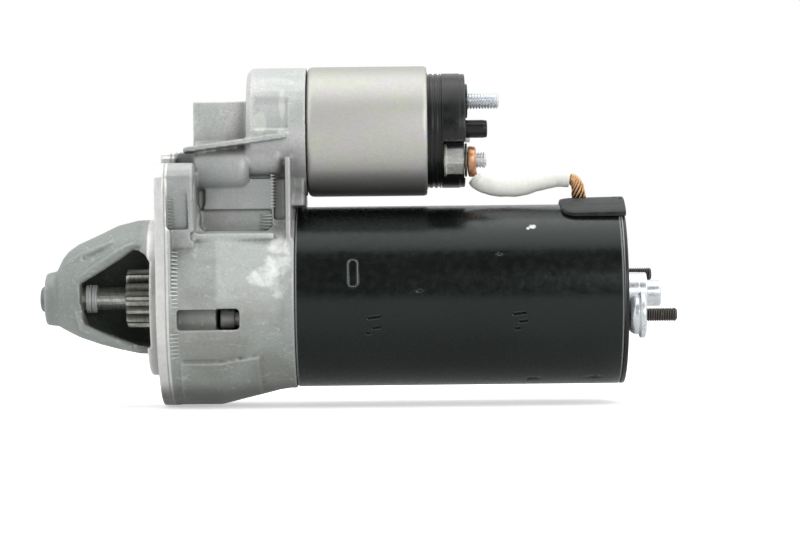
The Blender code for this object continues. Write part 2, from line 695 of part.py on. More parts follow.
def make_grommet():
    """A rubber saddle on the yoke's top edge that the lead goes in through."""
    inner, outer = GROMMET_R
    saddle = arc(inner, -20.0, 32.0, 12) + arc(outer, 31.0, -19.0, 12)
    grommet = prism("cable_grommet", saddle, *GROMMET_X, "rubber")
    wedge = arc(inner + 0.4, -12.0, 22.0, 8) + arc(41.6, 20.0, -10.0, 8)
    add(grommet, prism("wedge", wedge, 183.0, 198.0, "rubber"))


def make_motor_case():
    """Yoke, magnets, end cover and the pieces on it."""
    inner = YOKE_R - YOKE_WALL
    x0, x1 = YOKE_X
    tube("yoke", x0, x1, inner, YOKE_R, "black_paint", 48)
    bolt_angle = math.degrees(math.atan2(FAR_BOLT[1], FAR_BOLT[0]))
    for i in range(MAGNET_COUNT):
        middle = bolt_angle + 30.0 + 360.0 / MAGNET_COUNT * i - 90.0
        start, stop = middle - 22.0, middle + 22.0
        outline = arc(MAGNET_R[1], start, stop, 8) + arc(MAGNET_R[0], stop, start, 8)
        prism(f"magnet_{i + 1}", outline, 80.0, 150.0, "ferrite")
    tube("gear_cover_plate", 57.9, 60.4, 5.5, inner - GAP, "steel", 36)
    cover = [(190.0, inner - 2.2), (190.0, inner - GAP), (x1 + GAP, inner - GAP), (x1 + GAP, YOKE_R)]
    cover += [(197.2, YOKE_R), (END_X, YOKE_R - 1.2), (END_X, DRUM_R), (DRUM_X, DRUM_R)]
    cover += [(DRUM_X, 7.7), (196.2, 7.7), (196.2, inner - 2.2)]
    lathe("end_cover", cover, "zinc", 48)
    tube("rear_bushing", 196.8, 207.8, 4.6, 7.4, "bronze", 24)
    cap = [(DRUM_X + GAP, 0), (DRUM_X + GAP, 5.65), (213.8, 5.65), (214.5, 4.95), (214.5, 0)]
    lathe("bearing_cap", cap, "zinc", 24)


def make_brush_gear():
    """The brush plate with its guides, and the four brushes."""
    plate = tube("brush_plate", 179.2, 181.6, 9.0, 35.4, "black_plastic", 36)
    x0, x1 = BRUSH_X
    for i in range(BRUSH_COUNT):
        spin = Matrix.Rotation(math.radians(60.0) + TURN * i / BRUSH_COUNT, 4, "X")
        guide = box("guide", (x0 - 1.8, 179.8), (17.0, 27.0), (-5.2, 5.2))
        guide.data.transform(spin)
        add(plate, guide)
    for i in range(BRUSH_COUNT):
        spin = Matrix.Rotation(math.radians(60.0) + TURN * i / BRUSH_COUNT, 4, "X")
        well = box("well", (x0 - GAP, x1 + GAP), (12.0, 40.0), (-3.8, 3.8))
        well.data.transform(spin)
        cut(plate, well)
        brush = box(f"brush_{i + 1}", BRUSH_X, (COMMUTATOR_R + GAP, 26.0), (-3.5, 3.5), "carbon")
        brush.data.transform(spin)


def make_through_bolts():
    """The two long bolts from the gear case to the end cover, and the nut on the near one."""
    for name, (y, z, end) in (("through_bolt_near", NEAR_BOLT), ("through_bolt_far", FAR_BOLT)):
        head, shank = 26.0, 32.0
        profile = [(head, 0), (head, BOLT_HEAD_R - 0.5), (head + 0.5, BOLT_HEAD_R), (shank, BOLT_HEAD_R)]
        profile += [(shank, BOLT_R), (end - 0.8, BOLT_R), (end, BOLT_R - 0.8), (end, 0)]
        lathe(name, profile, "dark_steel", 16, (0, y, z))
        for piece in ("gear_cover_plate", "brush_plate", "end_cover"):
            cut(bpy.data.objects[piece], bore(50.0, 230.0, BOLT_R + GAP, y, z, 14))
    y, z, _ = NEAR_BOLT
    hole = BOLT_R + GAP
    nut = [(END_X + GAP, hole), (END_X + GAP, 8.3), (202.6, 8.3), (203.0, 9.8), (205.0, 9.8)]
    nut += [(205.5, 9.2), (205.5, hole)]
    lathe("flange_nut", nut, "zinc", 24, (0, y, z))


clear_scene()
make_housing()
make_nose_parts()
make_drive_shaft()
make_armature(make_gear_train())
make_pinion_drive()
make_lever()
make_solenoid()
make_switch_cover()
make_terminals()
make_motor_case()
make_brush_gear()
make_through_bolts()
make_grommet()
make_lead()
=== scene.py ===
"""The looks of the starter motor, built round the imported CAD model.

Sizes are in millimetres in the part's own frame and MM turns them into metres. X runs
along the motor's axis towards its rear, +Z is up towards the solenoid, and the near side
is -Y. Places come from the CAD nodes' boxes.
"""

import math

import bmesh
import bpy
import numpy as np
from mathutils import Matrix, Vector


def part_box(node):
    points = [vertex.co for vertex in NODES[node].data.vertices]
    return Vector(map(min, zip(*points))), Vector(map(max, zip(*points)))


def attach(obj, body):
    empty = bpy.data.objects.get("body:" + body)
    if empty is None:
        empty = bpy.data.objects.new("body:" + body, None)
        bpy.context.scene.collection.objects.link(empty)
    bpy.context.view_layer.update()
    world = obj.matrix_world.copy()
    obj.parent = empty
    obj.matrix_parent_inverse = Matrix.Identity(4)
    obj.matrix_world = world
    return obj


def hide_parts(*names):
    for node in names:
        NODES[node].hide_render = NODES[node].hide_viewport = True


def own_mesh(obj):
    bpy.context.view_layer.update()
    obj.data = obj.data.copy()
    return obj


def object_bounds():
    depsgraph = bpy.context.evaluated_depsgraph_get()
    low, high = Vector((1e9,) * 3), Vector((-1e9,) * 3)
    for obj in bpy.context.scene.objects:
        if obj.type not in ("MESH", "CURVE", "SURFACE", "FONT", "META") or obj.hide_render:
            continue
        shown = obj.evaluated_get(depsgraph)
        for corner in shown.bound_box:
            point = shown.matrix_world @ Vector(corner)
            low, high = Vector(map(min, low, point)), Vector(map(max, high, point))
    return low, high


MM = 0.001
TURN = 2 * math.pi

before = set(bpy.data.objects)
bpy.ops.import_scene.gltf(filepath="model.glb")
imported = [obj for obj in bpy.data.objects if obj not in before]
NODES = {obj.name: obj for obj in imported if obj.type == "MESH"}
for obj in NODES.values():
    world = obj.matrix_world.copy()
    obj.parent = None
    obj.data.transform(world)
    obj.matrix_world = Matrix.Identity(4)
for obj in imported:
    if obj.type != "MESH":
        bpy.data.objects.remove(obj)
cad_low, cad_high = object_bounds()


def extent(node):
    """A CAD node's lowest and highest corners in millimetres."""
    low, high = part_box(node)
    return np.array(low) / MM, np.array(high) / MM


def span(node):
    """A node's ends along X and the y and z of its middle."""
    low, high = extent(node)
    return low[0], high[0], (low[1] + high[1]) / 2, (low[2] + high[2]) / 2


# ---- materials


def add_node(tree, kind, inputs, **settings):
    """Add a shader node, with constants or other nodes' outputs on its sockets."""
    made = tree.nodes.new("ShaderNode" + kind)
    for key, value in settings.items():
        setattr(made, key, value)
    for key, value in inputs.items():
        if isinstance(value, bpy.types.NodeSocket):
            tree.links.new(value, made.inputs[key])
        else:
            made.inputs[key].default_value = value
    return made


class Finish:
    """A material's node tree, put together one node at a time."""

    def __init__(self, name, color=(0.5, 0.5, 0.5), roughness=0.5, metallic=0.0, **sockets):
        self.material = bpy.data.materials.new(name)
        self.material.use_nodes = True
        self.tree = self.material.node_tree
        self.shader = self.tree.nodes["Principled BSDF"]
        self.place = self.tree.nodes.new("ShaderNodeTexCoord").outputs["Object"]
        self.base = color
        self.set("Base Color", (*color, 1.0))
        self.set("Roughness", roughness)
        self.set("Metallic", metallic)
        for socket, value in sockets.items():
            self.set(socket.replace("_", " "), value)

    def set(self, socket, value):
        """Give a shader socket a constant or another node's output."""
        target = self.shader.inputs[socket]
        if isinstance(value, bpy.types.NodeSocket):
            self.tree.links.new(value, target)
        else:
            target.default_value = value

    def node(self, kind, inputs, **settings):
        return add_node(self.tree, kind, inputs, **settings)

    def stretched(self, stretch):
        """The coordinates in millimetres, stretched along the axes."""
        scale = [1 / (MM * s) for s in stretch]
        return self.node("Mapping", {"Vector": self.place, "Scale": scale}).outputs["Vector"]

    def cloud(self, size, detail=3.0, rough=0.55, warp=0.0):
        """Noise whose blotches are about size millimetres wide, along each axis."""
        sizes = size if isinstance(size, tuple) else (size,) * 3
        inputs = {"Vector": self.stretched(sizes), "Scale": 1.0, "Detail": detail}
        inputs.update({"Roughness": rough, "Distortion": warp})
        return self.node("TexNoise", inputs).outputs["Fac"]

    def ramp(self, value, low, high, start=0.0, stop=1.0):
        """Map low..high to start..stop, held at the ends."""
        inputs = {0: value, 1: low, 2: high, 3: start, 4: stop}
        return self.node("MapRange", inputs).outputs[0]

    def blend(self, share, first, second):
        """Mix two colours by a share or a mask."""
        colors = {}
        for index, value in ((6, first), (7, second)):
            colors[index] = (*value, 1.0) if isinstance(value, tuple) else value
        return self.node("Mix", {0: share, **colors}, data_type="RGBA").outputs[2]

    def ground(self, share, first, second):
        """Make the base colour from two colours, mixed by a share or a mask."""
        self.base = self.blend(share, first, second)
        self.set("Base Color", self.base)

    def polish(self, pattern, low, high):
        """Let the roughness follow a pattern, from low to high."""
        self.set("Roughness", self.ramp(pattern, 0.3, 0.7, low, high))

    def paint(self, share, color):
        """Lay a colour over the base colour."""
        self.ground(share, self.base, color)

    def sums(self, operation, first, second=0.0):
        """One step of arithmetic."""
        return self.node("Math", {0: first, 1: second}, operation=operation).outputs[0]

    def times(self, first, second):
        """The product, for instance of two masks."""
        return self.sums("MULTIPLY", first, second)

    def axis(self, index):
        """One coordinate in millimetres."""
        split = self.node("SeparateXYZ", {0: self.stretched((1, 1, 1))})
        return split.outputs[index]

    def radial(self):
        """The distance from the motor's axis in millimetres."""
        y, z = self.axis(1), self.axis(2)
        return self.sums("SQRT", self.sums("ADD", self.times(y, y), self.times(z, z)))

    def openness(self, reach):
        """How open a place is within reach millimetres, for painted shade in hollows."""
        return self.node("AmbientOcclusion", {"Distance": reach * MM}, samples=6).outputs["AO"]

    def edges(self, low=0.5, high=0.56):
        """How far a place stands out: for wear along edges, for a painted highlight on the casting's
        edges and, turned round, for painted shade in its creases.
        """
        made = self.node("NewGeometry", {})
        return self.ramp(made.outputs["Pointiness"], low, high)

    def spot(self, x, z, width, height, ragged=0.8):
        """One blotch on the near side, round an x, z place in millimetres."""
        far = 0.0
        for index, middle, reach in ((0, x, width), (2, z, height)):
            share = self.sums("DIVIDE", self.sums("SUBTRACT", self.axis(index), middle), reach)
            far = self.sums("ADD", far, self.times(share, share))
        rough_edge = self.times(self.cloud(5.0, 4.0, 0.6, warp=1.2), ragged * 3)
        mask = self.ramp(self.sums("ADD", far, rough_edge), 1.3 + ragged * 1.5, 0.6 + ragged * 1.5)
        return self.times(mask, self.ramp(self.axis(1), -6.0, -12.0))

    def bumps(self, *layers):
        """Stack height layers, each a value and its depth in millimetres."""
        normal = None
        for height, depth in layers:
            inputs = {"Height": height, "Strength": 1.0, "Distance": depth * MM}
            if normal is not None:
                inputs["Normal"] = normal
            normal = self.node("Bump", inputs).outputs["Normal"]
        self.set("Normal", normal)


def cast_aluminium():
    """A greyish casting, greener on the nose, with turned faces and smears. Light and shade are painted
    in: brighter high up, darker low down and on the seat's top, in a band under the bulges and in
    hollows and creases, and lighter on raised edges, which are also worn.
    """
    f = Finish("cast_aluminium", metallic=0.5)
    x, z = f.axis(0), f.axis(2)
    broad = f.cloud(24, 3.0)
    patch = f.cloud(6, 4.0, 0.6)
    grain = f.cloud(0.6, 2.0, 0.7)
    speck = f.cloud(1.3, 3.0, 0.7)
    f.ground(f.ramp(patch, 0.35, 0.65), (0.52, 0.525, 0.52), (0.66, 0.665, 0.66))
    # painted shade: the casting is darker low down, where less light reaches it
    low = f.ramp(f.sums("ADD", z, f.times(broad, 30.0)), 42.0, -8.0)
    f.paint(low, (0.38, 0.395, 0.365))
    # painted light: the casting is brighter high up, under the overhead lamp
    f.paint(f.ramp(z, 50.0, 66.0, 0.0, 0.65), (0.86, 0.86, 0.85))
    # painted shade: the top of the solenoid seat is darkened
    seat_top_shade = f.times(f.ramp(x, 36.0, 42.0), f.ramp(z, 66.0, 74.0, 0.0, 0.4))
    f.paint(seat_top_shade, (0.52, 0.54, 0.53))
    f.paint(f.ramp(broad, 0.45, 0.58, 0.0, 0.6), (0.50, 0.56, 0.53))
    f.paint(f.ramp(x, -4.0, -9.0, 0.0, 0.85), (0.28, 0.32, 0.295))
    f.paint(f.ramp(grain, 0.3, 0.7, 0.0, 0.32), (0.26, 0.27, 0.26))
    f.paint(f.ramp(speck, 0.56, 0.72, 0.0, 0.2), (0.88, 0.88, 0.87))
    f.paint(f.ramp(speck, 0.42, 0.3, 0.0, 0.35), (0.25, 0.26, 0.25))
    # raised edges are lighter from wear and a painted highlight; creases get painted shade
    f.paint(f.times(f.edges(0.51, 0.6), 0.7), (0.80, 0.81, 0.79))
    f.paint(f.edges(0.49, 0.42), (0.2, 0.21, 0.2))
    streaks = f.ramp(f.cloud((7, 7, 3.5), 5.0, 0.68, warp=1.8), 0.60, 0.68, 0.0, 0.45)
    f.paint(streaks, (0.80, 0.83, 0.81))
    wisps = f.ramp(f.cloud(6.0, 3.0, 0.55, warp=0.5), 0.35, 0.6, 0.1, 0.75)
    for place in ((51.0, 14.0, 5.5, 12.5), (46.5, 9.0, 8.5, 4.0)):
        f.paint(f.times(f.spot(*place), wisps), (0.90, 0.93, 0.90))
    for place in ((43.4, 74.0, 2.6, 5.0), (52.6, 82.0, 1.4, 6.0)):
        f.paint(f.times(f.spot(*place, 0.3), 0.4), (0.90, 0.92, 0.84))
    shaded = f.times(f.ramp(z, 28.0, 44.0), f.ramp(z, 69.0, 63.0, 0.0, 0.4))
    f.paint(shaded, (0.33, 0.34, 0.335))
    turned_face = f.times(f.ramp(x, -5.7, -5.4), f.ramp(x, 5.5, 5.2))
    turned_face = f.times(turned_face, f.ramp(f.radial(), 31.0, 31.6))
    fresh = f.blend(f.ramp(patch, 0.3, 0.7), (0.84, 0.84, 0.82), (0.97, 0.97, 0.95))
    fresh = f.blend(f.ramp(grain, 0.3, 0.7, 0.0, 0.3), fresh, (0.5, 0.5, 0.49))
    f.paint(turned_face, fresh)
    # painted shade: near black in hollows and pockets, such as inside the nose
    open_share = f.openness(12)
    shade_in_hollows = f.times(f.ramp(open_share, 0.35, 0.9, 1.0, 0.0), f.ramp(x, 2.0, 6.0, 0.9, 0.65))
    f.paint(shade_in_hollows, (0.09, 0.095, 0.085))
    as_cast = f.ramp(patch, 0.3, 0.7, 0.44, 0.6)
    f.set("Roughness", f.sums("SUBTRACT", as_cast, f.times(turned_face, 0.12)))
    rim_line = f.sums("ABSOLUTE", f.sums("SUBTRACT", x, 4.1))
    f.paint(f.ramp(rim_line, 0.35, 0.1, 0.0, 0.45), (0.15, 0.155, 0.15))
    f.bumps((grain, 0.06), (f.cloud(2.4, 3.0), 0.14), (f.ramp(rim_line, 0.1, 0.4), 0.25))
    return f.material


def zinc():
    """The can's satin plating: a green and a pink tint, with painted shade towards its top and its foot.
    """
    f = Finish("zinc", metallic=0.8)
    tint = f.ramp(f.cloud(11, 2.0, warp=0.6), 0.35, 0.65)
    f.ground(tint, (0.70, 0.72, 0.62), (0.72, 0.68, 0.70))
    scale = f.cloud((1.6, 1.6, 1.0), 2.0, 0.6)
    f.paint(f.ramp(scale, 0.35, 0.7, 0.0, 0.3), (0.5, 0.52, 0.5))
    z = f.axis(2)
    f.paint(0.12, (0.3, 0.3, 0.28))
    # painted shade: darker towards the can's top, under the overhead lamp, and towards its foot, above
    # the black yoke
    f.paint(f.ramp(z, 78.0, 99.0, 0.0, 0.62), (0.34, 0.35, 0.31))
    f.paint(f.ramp(z, 54.0, 45.0, 0.0, 0.75), (0.14, 0.15, 0.14))
    f.polish(scale, 0.46, 0.54)
    f.bumps((scale, 0.012))
    return f.material


def black_paint():
    """Glossy black paint with dust, worn raised edges and two chips."""
    f = Finish("black_paint", Specular_IOR_Level=0.5, Specular_Tint=(0.86, 1.0, 0.95, 1.0))
    peel = f.cloud(3.2, 2.0)
    dust = f.cloud(0.7, 3.0, 0.7)
    broad = f.ramp(f.cloud(40, 2.0), 0.35, 0.65)
    f.ground(broad, (0.0022, 0.0026, 0.0024), (0.0045, 0.0055, 0.005))
    f.paint(f.ramp(dust, 0.68, 0.8, 0.0, 0.12), (0.08, 0.09, 0.09))
    f.paint(f.edges(0.515, 0.56), (0.30, 0.31, 0.31))
    chips = f.sums("ADD", f.spot(158.3, 28.8, 1.7, 0.9, 0.9), f.spot(156.4, 28.2, 0.7, 0.6, 0.4))
    f.paint(chips, (0.75, 0.76, 0.75))
    f.polish(peel, 0.2, 0.3)
    f.bumps((peel, 0.04), (dust, 0.006))
    return f.material


def steel(name="steel", dark=(0.60, 0.62, 0.58), light=(0.80, 0.81, 0.77), hollow_shade_strength=0.0):
    """Turned steel; shade can be painted into its hollows."""
    f = Finish(name, metallic=0.85)
    lines = f.cloud((0.25, 6.0, 6.0), 2.0)
    patch = f.cloud(2.4, 3.0)
    f.ground(f.ramp(lines, 0.3, 0.7), dark, light)
    f.paint(f.ramp(patch, 0.45, 0.65, 0.0, 0.45), (0.34, 0.33, 0.30))
    # painted shade in the hollows, such as between the pinion's teeth
    if hollow_shade_strength:
        open_share = f.openness(4)
        f.paint(f.ramp(open_share, 0.4, 0.85, hollow_shade_strength, 0.0), (0.05, 0.05, 0.045))
    f.polish(patch, 0.3, 0.46)
    f.bumps((lines, 0.01))
    return f.material


def bright_zinc(name, dark, light, rough, metallic):
    """The brighter plating of the studs, nuts and turned caps, with bluish blotches."""
    f = Finish(name, metallic=metallic)
    patch = f.cloud(2.0, 3.0, 0.6)
    f.ground(f.ramp(patch, 0.35, 0.65), dark, light)
    f.paint(f.ramp(f.cloud(5.0), 0.4, 0.6, 0.0, 0.35), (0.72, 0.78, 0.84))
    f.polish(patch, rough, rough + 0.07)
    f.bumps((f.cloud((0.3, 3.0, 3.0), 2.0), 0.0015))
    return f.material


def dark_steel():
    """Blackened steel; the bolts' heads ahead of the motor are brighter."""
    f = Finish("dark_steel", roughness=0.45, metallic=0.85)
    patch = f.cloud(1.5, 4.0, 0.65)
    f.ground(f.ramp(patch, 0.3, 0.7), (0.035, 0.03, 0.027), (0.10, 0.085, 0.075))
    ahead = f.ramp(f.axis(0), 60.0, 50.0)
    f.paint(ahead, (0.66, 0.665, 0.65))
    f.set("Metallic", f.sums("SUBTRACT", 0.85, f.times(ahead, 0.6)))
    f.paint(f.edges(0.5, 0.6), (0.3, 0.28, 0.26))
    f.polish(patch, 0.38, 0.58)
    f.bumps((f.cloud(0.4), 0.02))
    return f.material


def plain(name, dark, light, size, rough, metallic=0.0, depth=0.02):
    """Two tones in blotches, with roughness and relief to match."""
    f = Finish(name, roughness=rough, metallic=metallic)
    patch = f.cloud(size, 4.0, 0.6)
    f.ground(f.ramp(patch, 0.32, 0.68), dark, light)
    f.polish(patch, rough - 0.07, rough + 0.07)
    f.bumps((f.cloud(size * 0.3), depth))
    return f.material


def copper(name="copper", hollow_shade_strength=0.0):
    """Copper; on the lead's strands it darkens towards their lower ends, with painted shade between
    them.
    """
    f = Finish(name, roughness=0.35, metallic=0.8)
    patch = f.cloud(2.4, 4.0, 0.6)
    f.ground(f.ramp(patch, 0.3, 0.7), (0.55, 0.25, 0.12), (0.86, 0.50, 0.30))
    if hollow_shade_strength:
        open_share = f.openness(2)
        f.paint(f.ramp(f.cloud(0.9, 3.0), 0.45, 0.6), (0.72, 0.52, 0.22))
        f.paint(f.ramp(f.axis(2), 44.5, 41.5, 0.0, 0.75), (0.16, 0.09, 0.06))
        # painted shade between the strands
        f.paint(f.ramp(open_share, 0.3, 0.8, hollow_shade_strength, 0.0), (0.05, 0.025, 0.015))
    f.polish(patch, 0.28, 0.45)
    f.bumps((f.cloud(0.5), 0.02))
    return f.material


MATERIALS = (
    cast_aluminium(),
    zinc(),
    black_paint(),
    steel(),
    dark_steel(),
    plain("ferrite", (0.03, 0.03, 0.033), (0.07, 0.07, 0.075), 1.5, 0.6),
    copper(),
    plain("bronze", (0.42, 0.27, 0.12), (0.62, 0.44, 0.24), 1.2, 0.42, 1.0),
    plain("black_plastic", (0.004, 0.0045, 0.005), (0.011, 0.012, 0.013), 5.0, 0.32),
    plain("grey_plastic", (0.5, 0.51, 0.5), (0.6, 0.61, 0.6), 3.0, 0.5),
    plain("rubber", (0.022, 0.025, 0.025), (0.05, 0.054, 0.054), 2.5, 0.6, depth=0.06),
    plain("sleeve", (0.90, 0.90, 0.84), (0.98, 0.98, 0.93), 1.6, 0.8, depth=0.1),
    plain("carbon", (0.02, 0.02, 0.02), (0.06, 0.055, 0.055), 0.8, 0.6),
)
FINISHES = {material.name.split(".")[0]: material for material in MATERIALS}


GEAR_STEEL = steel("gear_steel", (0.62, 0.63, 0.57), (0.84, 0.85, 0.79), 0.85)
BRIGHT_ZINC = bright_zinc("bright_zinc", (0.74, 0.78, 0.80), (0.90, 0.93, 0.96), 0.26, 0.7)
CAP_STEEL = steel("cap_steel", (0.15, 0.155, 0.155), (0.28, 0.285, 0.285))
RING_STEEL = bright_zinc("ring_steel", (0.90, 0.90, 0.89), (1.0, 1.0, 0.99), 0.3, 0.2)
NUT_ZINC = bright_zinc("nut_zinc", (0.92, 0.92, 0.84), (1.0, 1.0, 0.94), 0.24, 0.2)
STRAND_COPPER = copper("strand_copper", 0.9)
CHROMATE = plain("chromate", (0.10, 0.095, 0.06), (0.26, 0.25, 0.18), 1.2, 0.4, 0.8)


# ---- shapes


def placed(name, data):
    """An object in the scene for a mesh, a lamp or a camera."""
    obj = bpy.data.objects.new(name, data)
    bpy.context.scene.collection.objects.link(obj)
    return obj


def made(name, mesh, slot, *replaced, body="starter", sharp=35.0, finish=None):
    """Turn a mesh in metres into a finished piece that rides on a body."""
    obj = placed(name, mesh)
    mesh.name = name
    mesh.materials.clear()
    mesh.materials.append(finish or FINISHES[slot])
    mesh.shade_smooth()
    mesh.set_sharp_from_angle(angle=math.radians(sharp))
    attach(obj, body)
    if replaced:
        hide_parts(*replaced)
    return obj


def skin(rings, ends="flat"):
    """A closed skin over rings of points in millimetres. Its ends are flat, or join up."""
    rings = np.asarray(rings, float)
    count, sides = rings.shape[:2]
    last = count if ends == "join" else count - 1
    faces = []
    for r in range(last):
        a, b = r * sides, (r + 1) % count * sides
        faces += [(a + c, a + (c + 1) % sides, b + (c + 1) % sides, b + c) for c in range(sides)]
    if ends == "flat":
        faces.append(tuple(reversed(range(sides))))
        faces.append(tuple((count - 1) * sides + c for c in range(sides)))
    mesh = bpy.data.meshes.new("skin")
    mesh.from_pydata((rings.reshape(-1, 3) * MM).tolist(), [], faces)
    bm = bmesh.new()
    bm.from_mesh(mesh)
    bmesh.ops.recalc_face_normals(bm, faces=bm.faces)
    bm.to_mesh(mesh)
    bm.free()
    return mesh


def rounded(profile, steps=5):
    """Ease each corner of an outline whose point has a third value, its reach."""
    points = []
    for i, point in enumerate(profile):
        reach = point[2] if len(point) > 2 else 0.0
        here = np.array(point[:2], float)
        if reach == 0.0:
            points.append(here)
            continue
        ends = []
        for other in (profile[i - 1], profile[(i + 1) % len(profile)]):
            way = np.array(other[:2], float) - here
            length = np.linalg.norm(way)
            ends.append(here + way * min(reach / length, 0.49))
        for k in range(steps + 1):
            t = k / steps
            points.append(ends[0] * (1 - t) ** 2 + here * 2 * t * (1 - t) + ends[1] * t * t)
    return points


def ring_at(x, radius, angles, center=(0.0, 0.0)):
    """A ring of points round a line along X. Its x and radius may vary with the angle."""
    across = center[0] + radius * np.cos(angles)
    up = center[1] + radius * np.sin(angles)
    return np.column_stack((np.broadcast_to(x, angles.shape), across, up))


def turned_rings(profile, center=(0.0, 0.0), sides=96, phase=0.0):
    """Rings of points for an x, radius outline."""
    angles = phase + TURN * np.arange(sides) / sides
    return np.array([ring_at(x, radius, angles, center) for x, radius in profile])


def turned(profile, center=(0.0, 0.0), sides=96):
    """Turn an x, radius outline round a line along X. One that starts on the line is solid."""
    if profile[0][1] == 0:
        return skin(turned_rings(rounded(profile)[1:-1], center, sides))
    return skin(turned_rings(rounded(profile), center, sides), "join")


def threaded(blank, start, stop, pitch, depth, center=(0.0, 0.0), sides=48, per_turn=10):
    """A turned blank with a helical thread cut from start to stop."""
    outline = rounded(blank)[1:-1]
    head = [p for p in outline if p[0] < start]
    tail = [p for p in outline if p[0] > stop]
    radius = head[-1][1]
    steps = int((stop - start) / pitch * per_turn)
    middle = [(start + (stop - start) * k / steps, radius) for k in range(steps + 1)]
    rings = turned_rings([*head, *middle, *tail], center, sides)
    angles = np.arange(sides) / sides
    for ring in rings[len(head) : len(head) + len(middle)]:
        x = ring[0, 0]
        wave = np.abs(2 * ((x / pitch + angles) % 1.0) - 1)
        cut = depth * np.clip((wave - 0.12) / 0.76, 0, 1)
        fade = min(1.0, (x - start) / pitch + 0.05, (stop - x) / pitch + 0.4)
        factor = 1 - cut * fade / radius
        ring[:, 1] = center[0] + (ring[:, 1] - center[0]) * factor
        ring[:, 2] = center[1] + (ring[:, 2] - center[1]) * factor
    return skin(rings)


# ---- pieces


def carry_over():
    """Give every CAD node that isn't replaced the procedural finish of its slot."""
    for obj in NODES.values():
        finish = obj.data.materials[0].name.split(".")[0]
        obj.data.materials[0] = FINISHES[finish]
        obj.data.shade_smooth()
        obj.data.set_sharp_from_angle(angle=math.radians(32))


class Solids:
    """Closed solids in millimetres, gathered into one mesh. They may start from a mesh."""

    def __init__(self, mesh=None):
        self.bm = bmesh.new()
        if mesh is not None:
            self.bm.from_mesh(mesh)
            bmesh.ops.scale(self.bm, vec=(1 / MM,) * 3, verts=self.bm.verts)
            bmesh.ops.remove_doubles(self.bm, verts=self.bm.verts, dist=1e-3)

    def rings(self, rings):
        """A solid over rings of points, closed at both ends."""
        loops = [[self.bm.verts.new(p) for p in ring] for ring in rings]
        for a, b in zip(loops, loops[1:]):
            for i in range(len(a)):
                j = (i + 1) % len(a)
                self.bm.faces.new((a[i], a[j], b[j], b[i]))
        self.bm.faces.new(reversed(loops[0]))
        self.bm.faces.new(loops[-1])

    def prism(self, outline, low, high, axis="Y"):
        """An x, z outline along Y, or a y, z outline along X, between two places on it."""
        place = (lambda p, d: (p[0], d, p[1])) if axis == "Y" else (lambda p, d: (d, p[0], p[1]))
        self.rings([[place(p, d) for p in outline] for d in sorted((low, high))])

    def sector(self, sections, angles, center=0.0, steps=16):
        """A block round X between two angles from -y towards +z; x, inner and outer radius each."""
        rings = []
        for x, inner, outer in sections:
            ring = []
            for radius, turn in ((inner, 1), (outer, -1)):
                for k in range(steps + 1)[::turn]:
                    a = math.radians(angles[0] + (angles[1] - angles[0]) * k / steps)
                    ring.append((x, -radius * math.cos(a), center + radius * math.sin(a)))
            rings.append(ring)
        self.rings(rings)

    def tube(self, route, radii, sides=10):
        """A round bar along a route, with a radius for each of its points."""
        route = [Vector(p) for p in route]
        rings = []
        for i, point in enumerate(route):
            along = (route[min(i + 1, len(route) - 1)] - route[max(i - 1, 0)]).normalized()
            side = along.cross(Vector((0, 1, 0.3))).normalized()
            other = along.cross(side)
            angles = [TURN * k / sides for k in range(sides)]
            rings.append([point + radii[i] * (math.cos(a) * side + math.sin(a) * other) for a in angles])
        self.rings(rings)

    def mesh(self):
        """Hand the solids over as one mesh in metres."""
        bmesh.ops.recalc_face_normals(self.bm, faces=self.bm.faces)
        bmesh.ops.scale(self.bm, vec=(MM,) * 3, verts=self.bm.verts)
        mesh = bpy.data.meshes.new("solids")
        self.bm.to_mesh(mesh)
        self.bm.free()
        return mesh


def settle(obj):
    """The object's mesh with its modifiers applied, and the object dropped."""
    graph = bpy.context.evaluated_depsgraph_get()
    mesh = bpy.data.meshes.new_from_object(obj.evaluated_get(graph))
    bpy.data.objects.remove(obj, do_unlink=True)
    return mesh


def cut_away(obj, tools):
    """The object's mesh without the tools' solids; the object is dropped."""
    tool = placed("tools", tools.mesh())
    cut = obj.modifiers.new("cut", "BOOLEAN")
    cut.operation = "DIFFERENCE"
    cut.solver = "EXACT"
    cut.use_self = True
    cut.object = tool
    mesh = settle(obj)
    bpy.data.objects.remove(tool, do_unlink=True)
    return mesh


CASE_R = 45.4
CASE_Z = -0.7
STUD_R = 3.5
NUT_TURN = math.radians(12)
SOLENOID_Z = span("solenoid_can")[3]
PAD_RADII = ((9.5, 45.4), (26.0, 45.4), (34.0, 43.2), (42.4, 41.2))  # the case under its pad
POCKET_Z, POCKET_CLEAR = -8.8, 5.2  # the bolt's pocket, where the fine teeth stop
BULGE_INNER_Y = 18.5  # the added bulges stay outside the solenoid's bore
NEAR_STEP_Y = -9.0  # the flange's top edge steps up from the near ear here


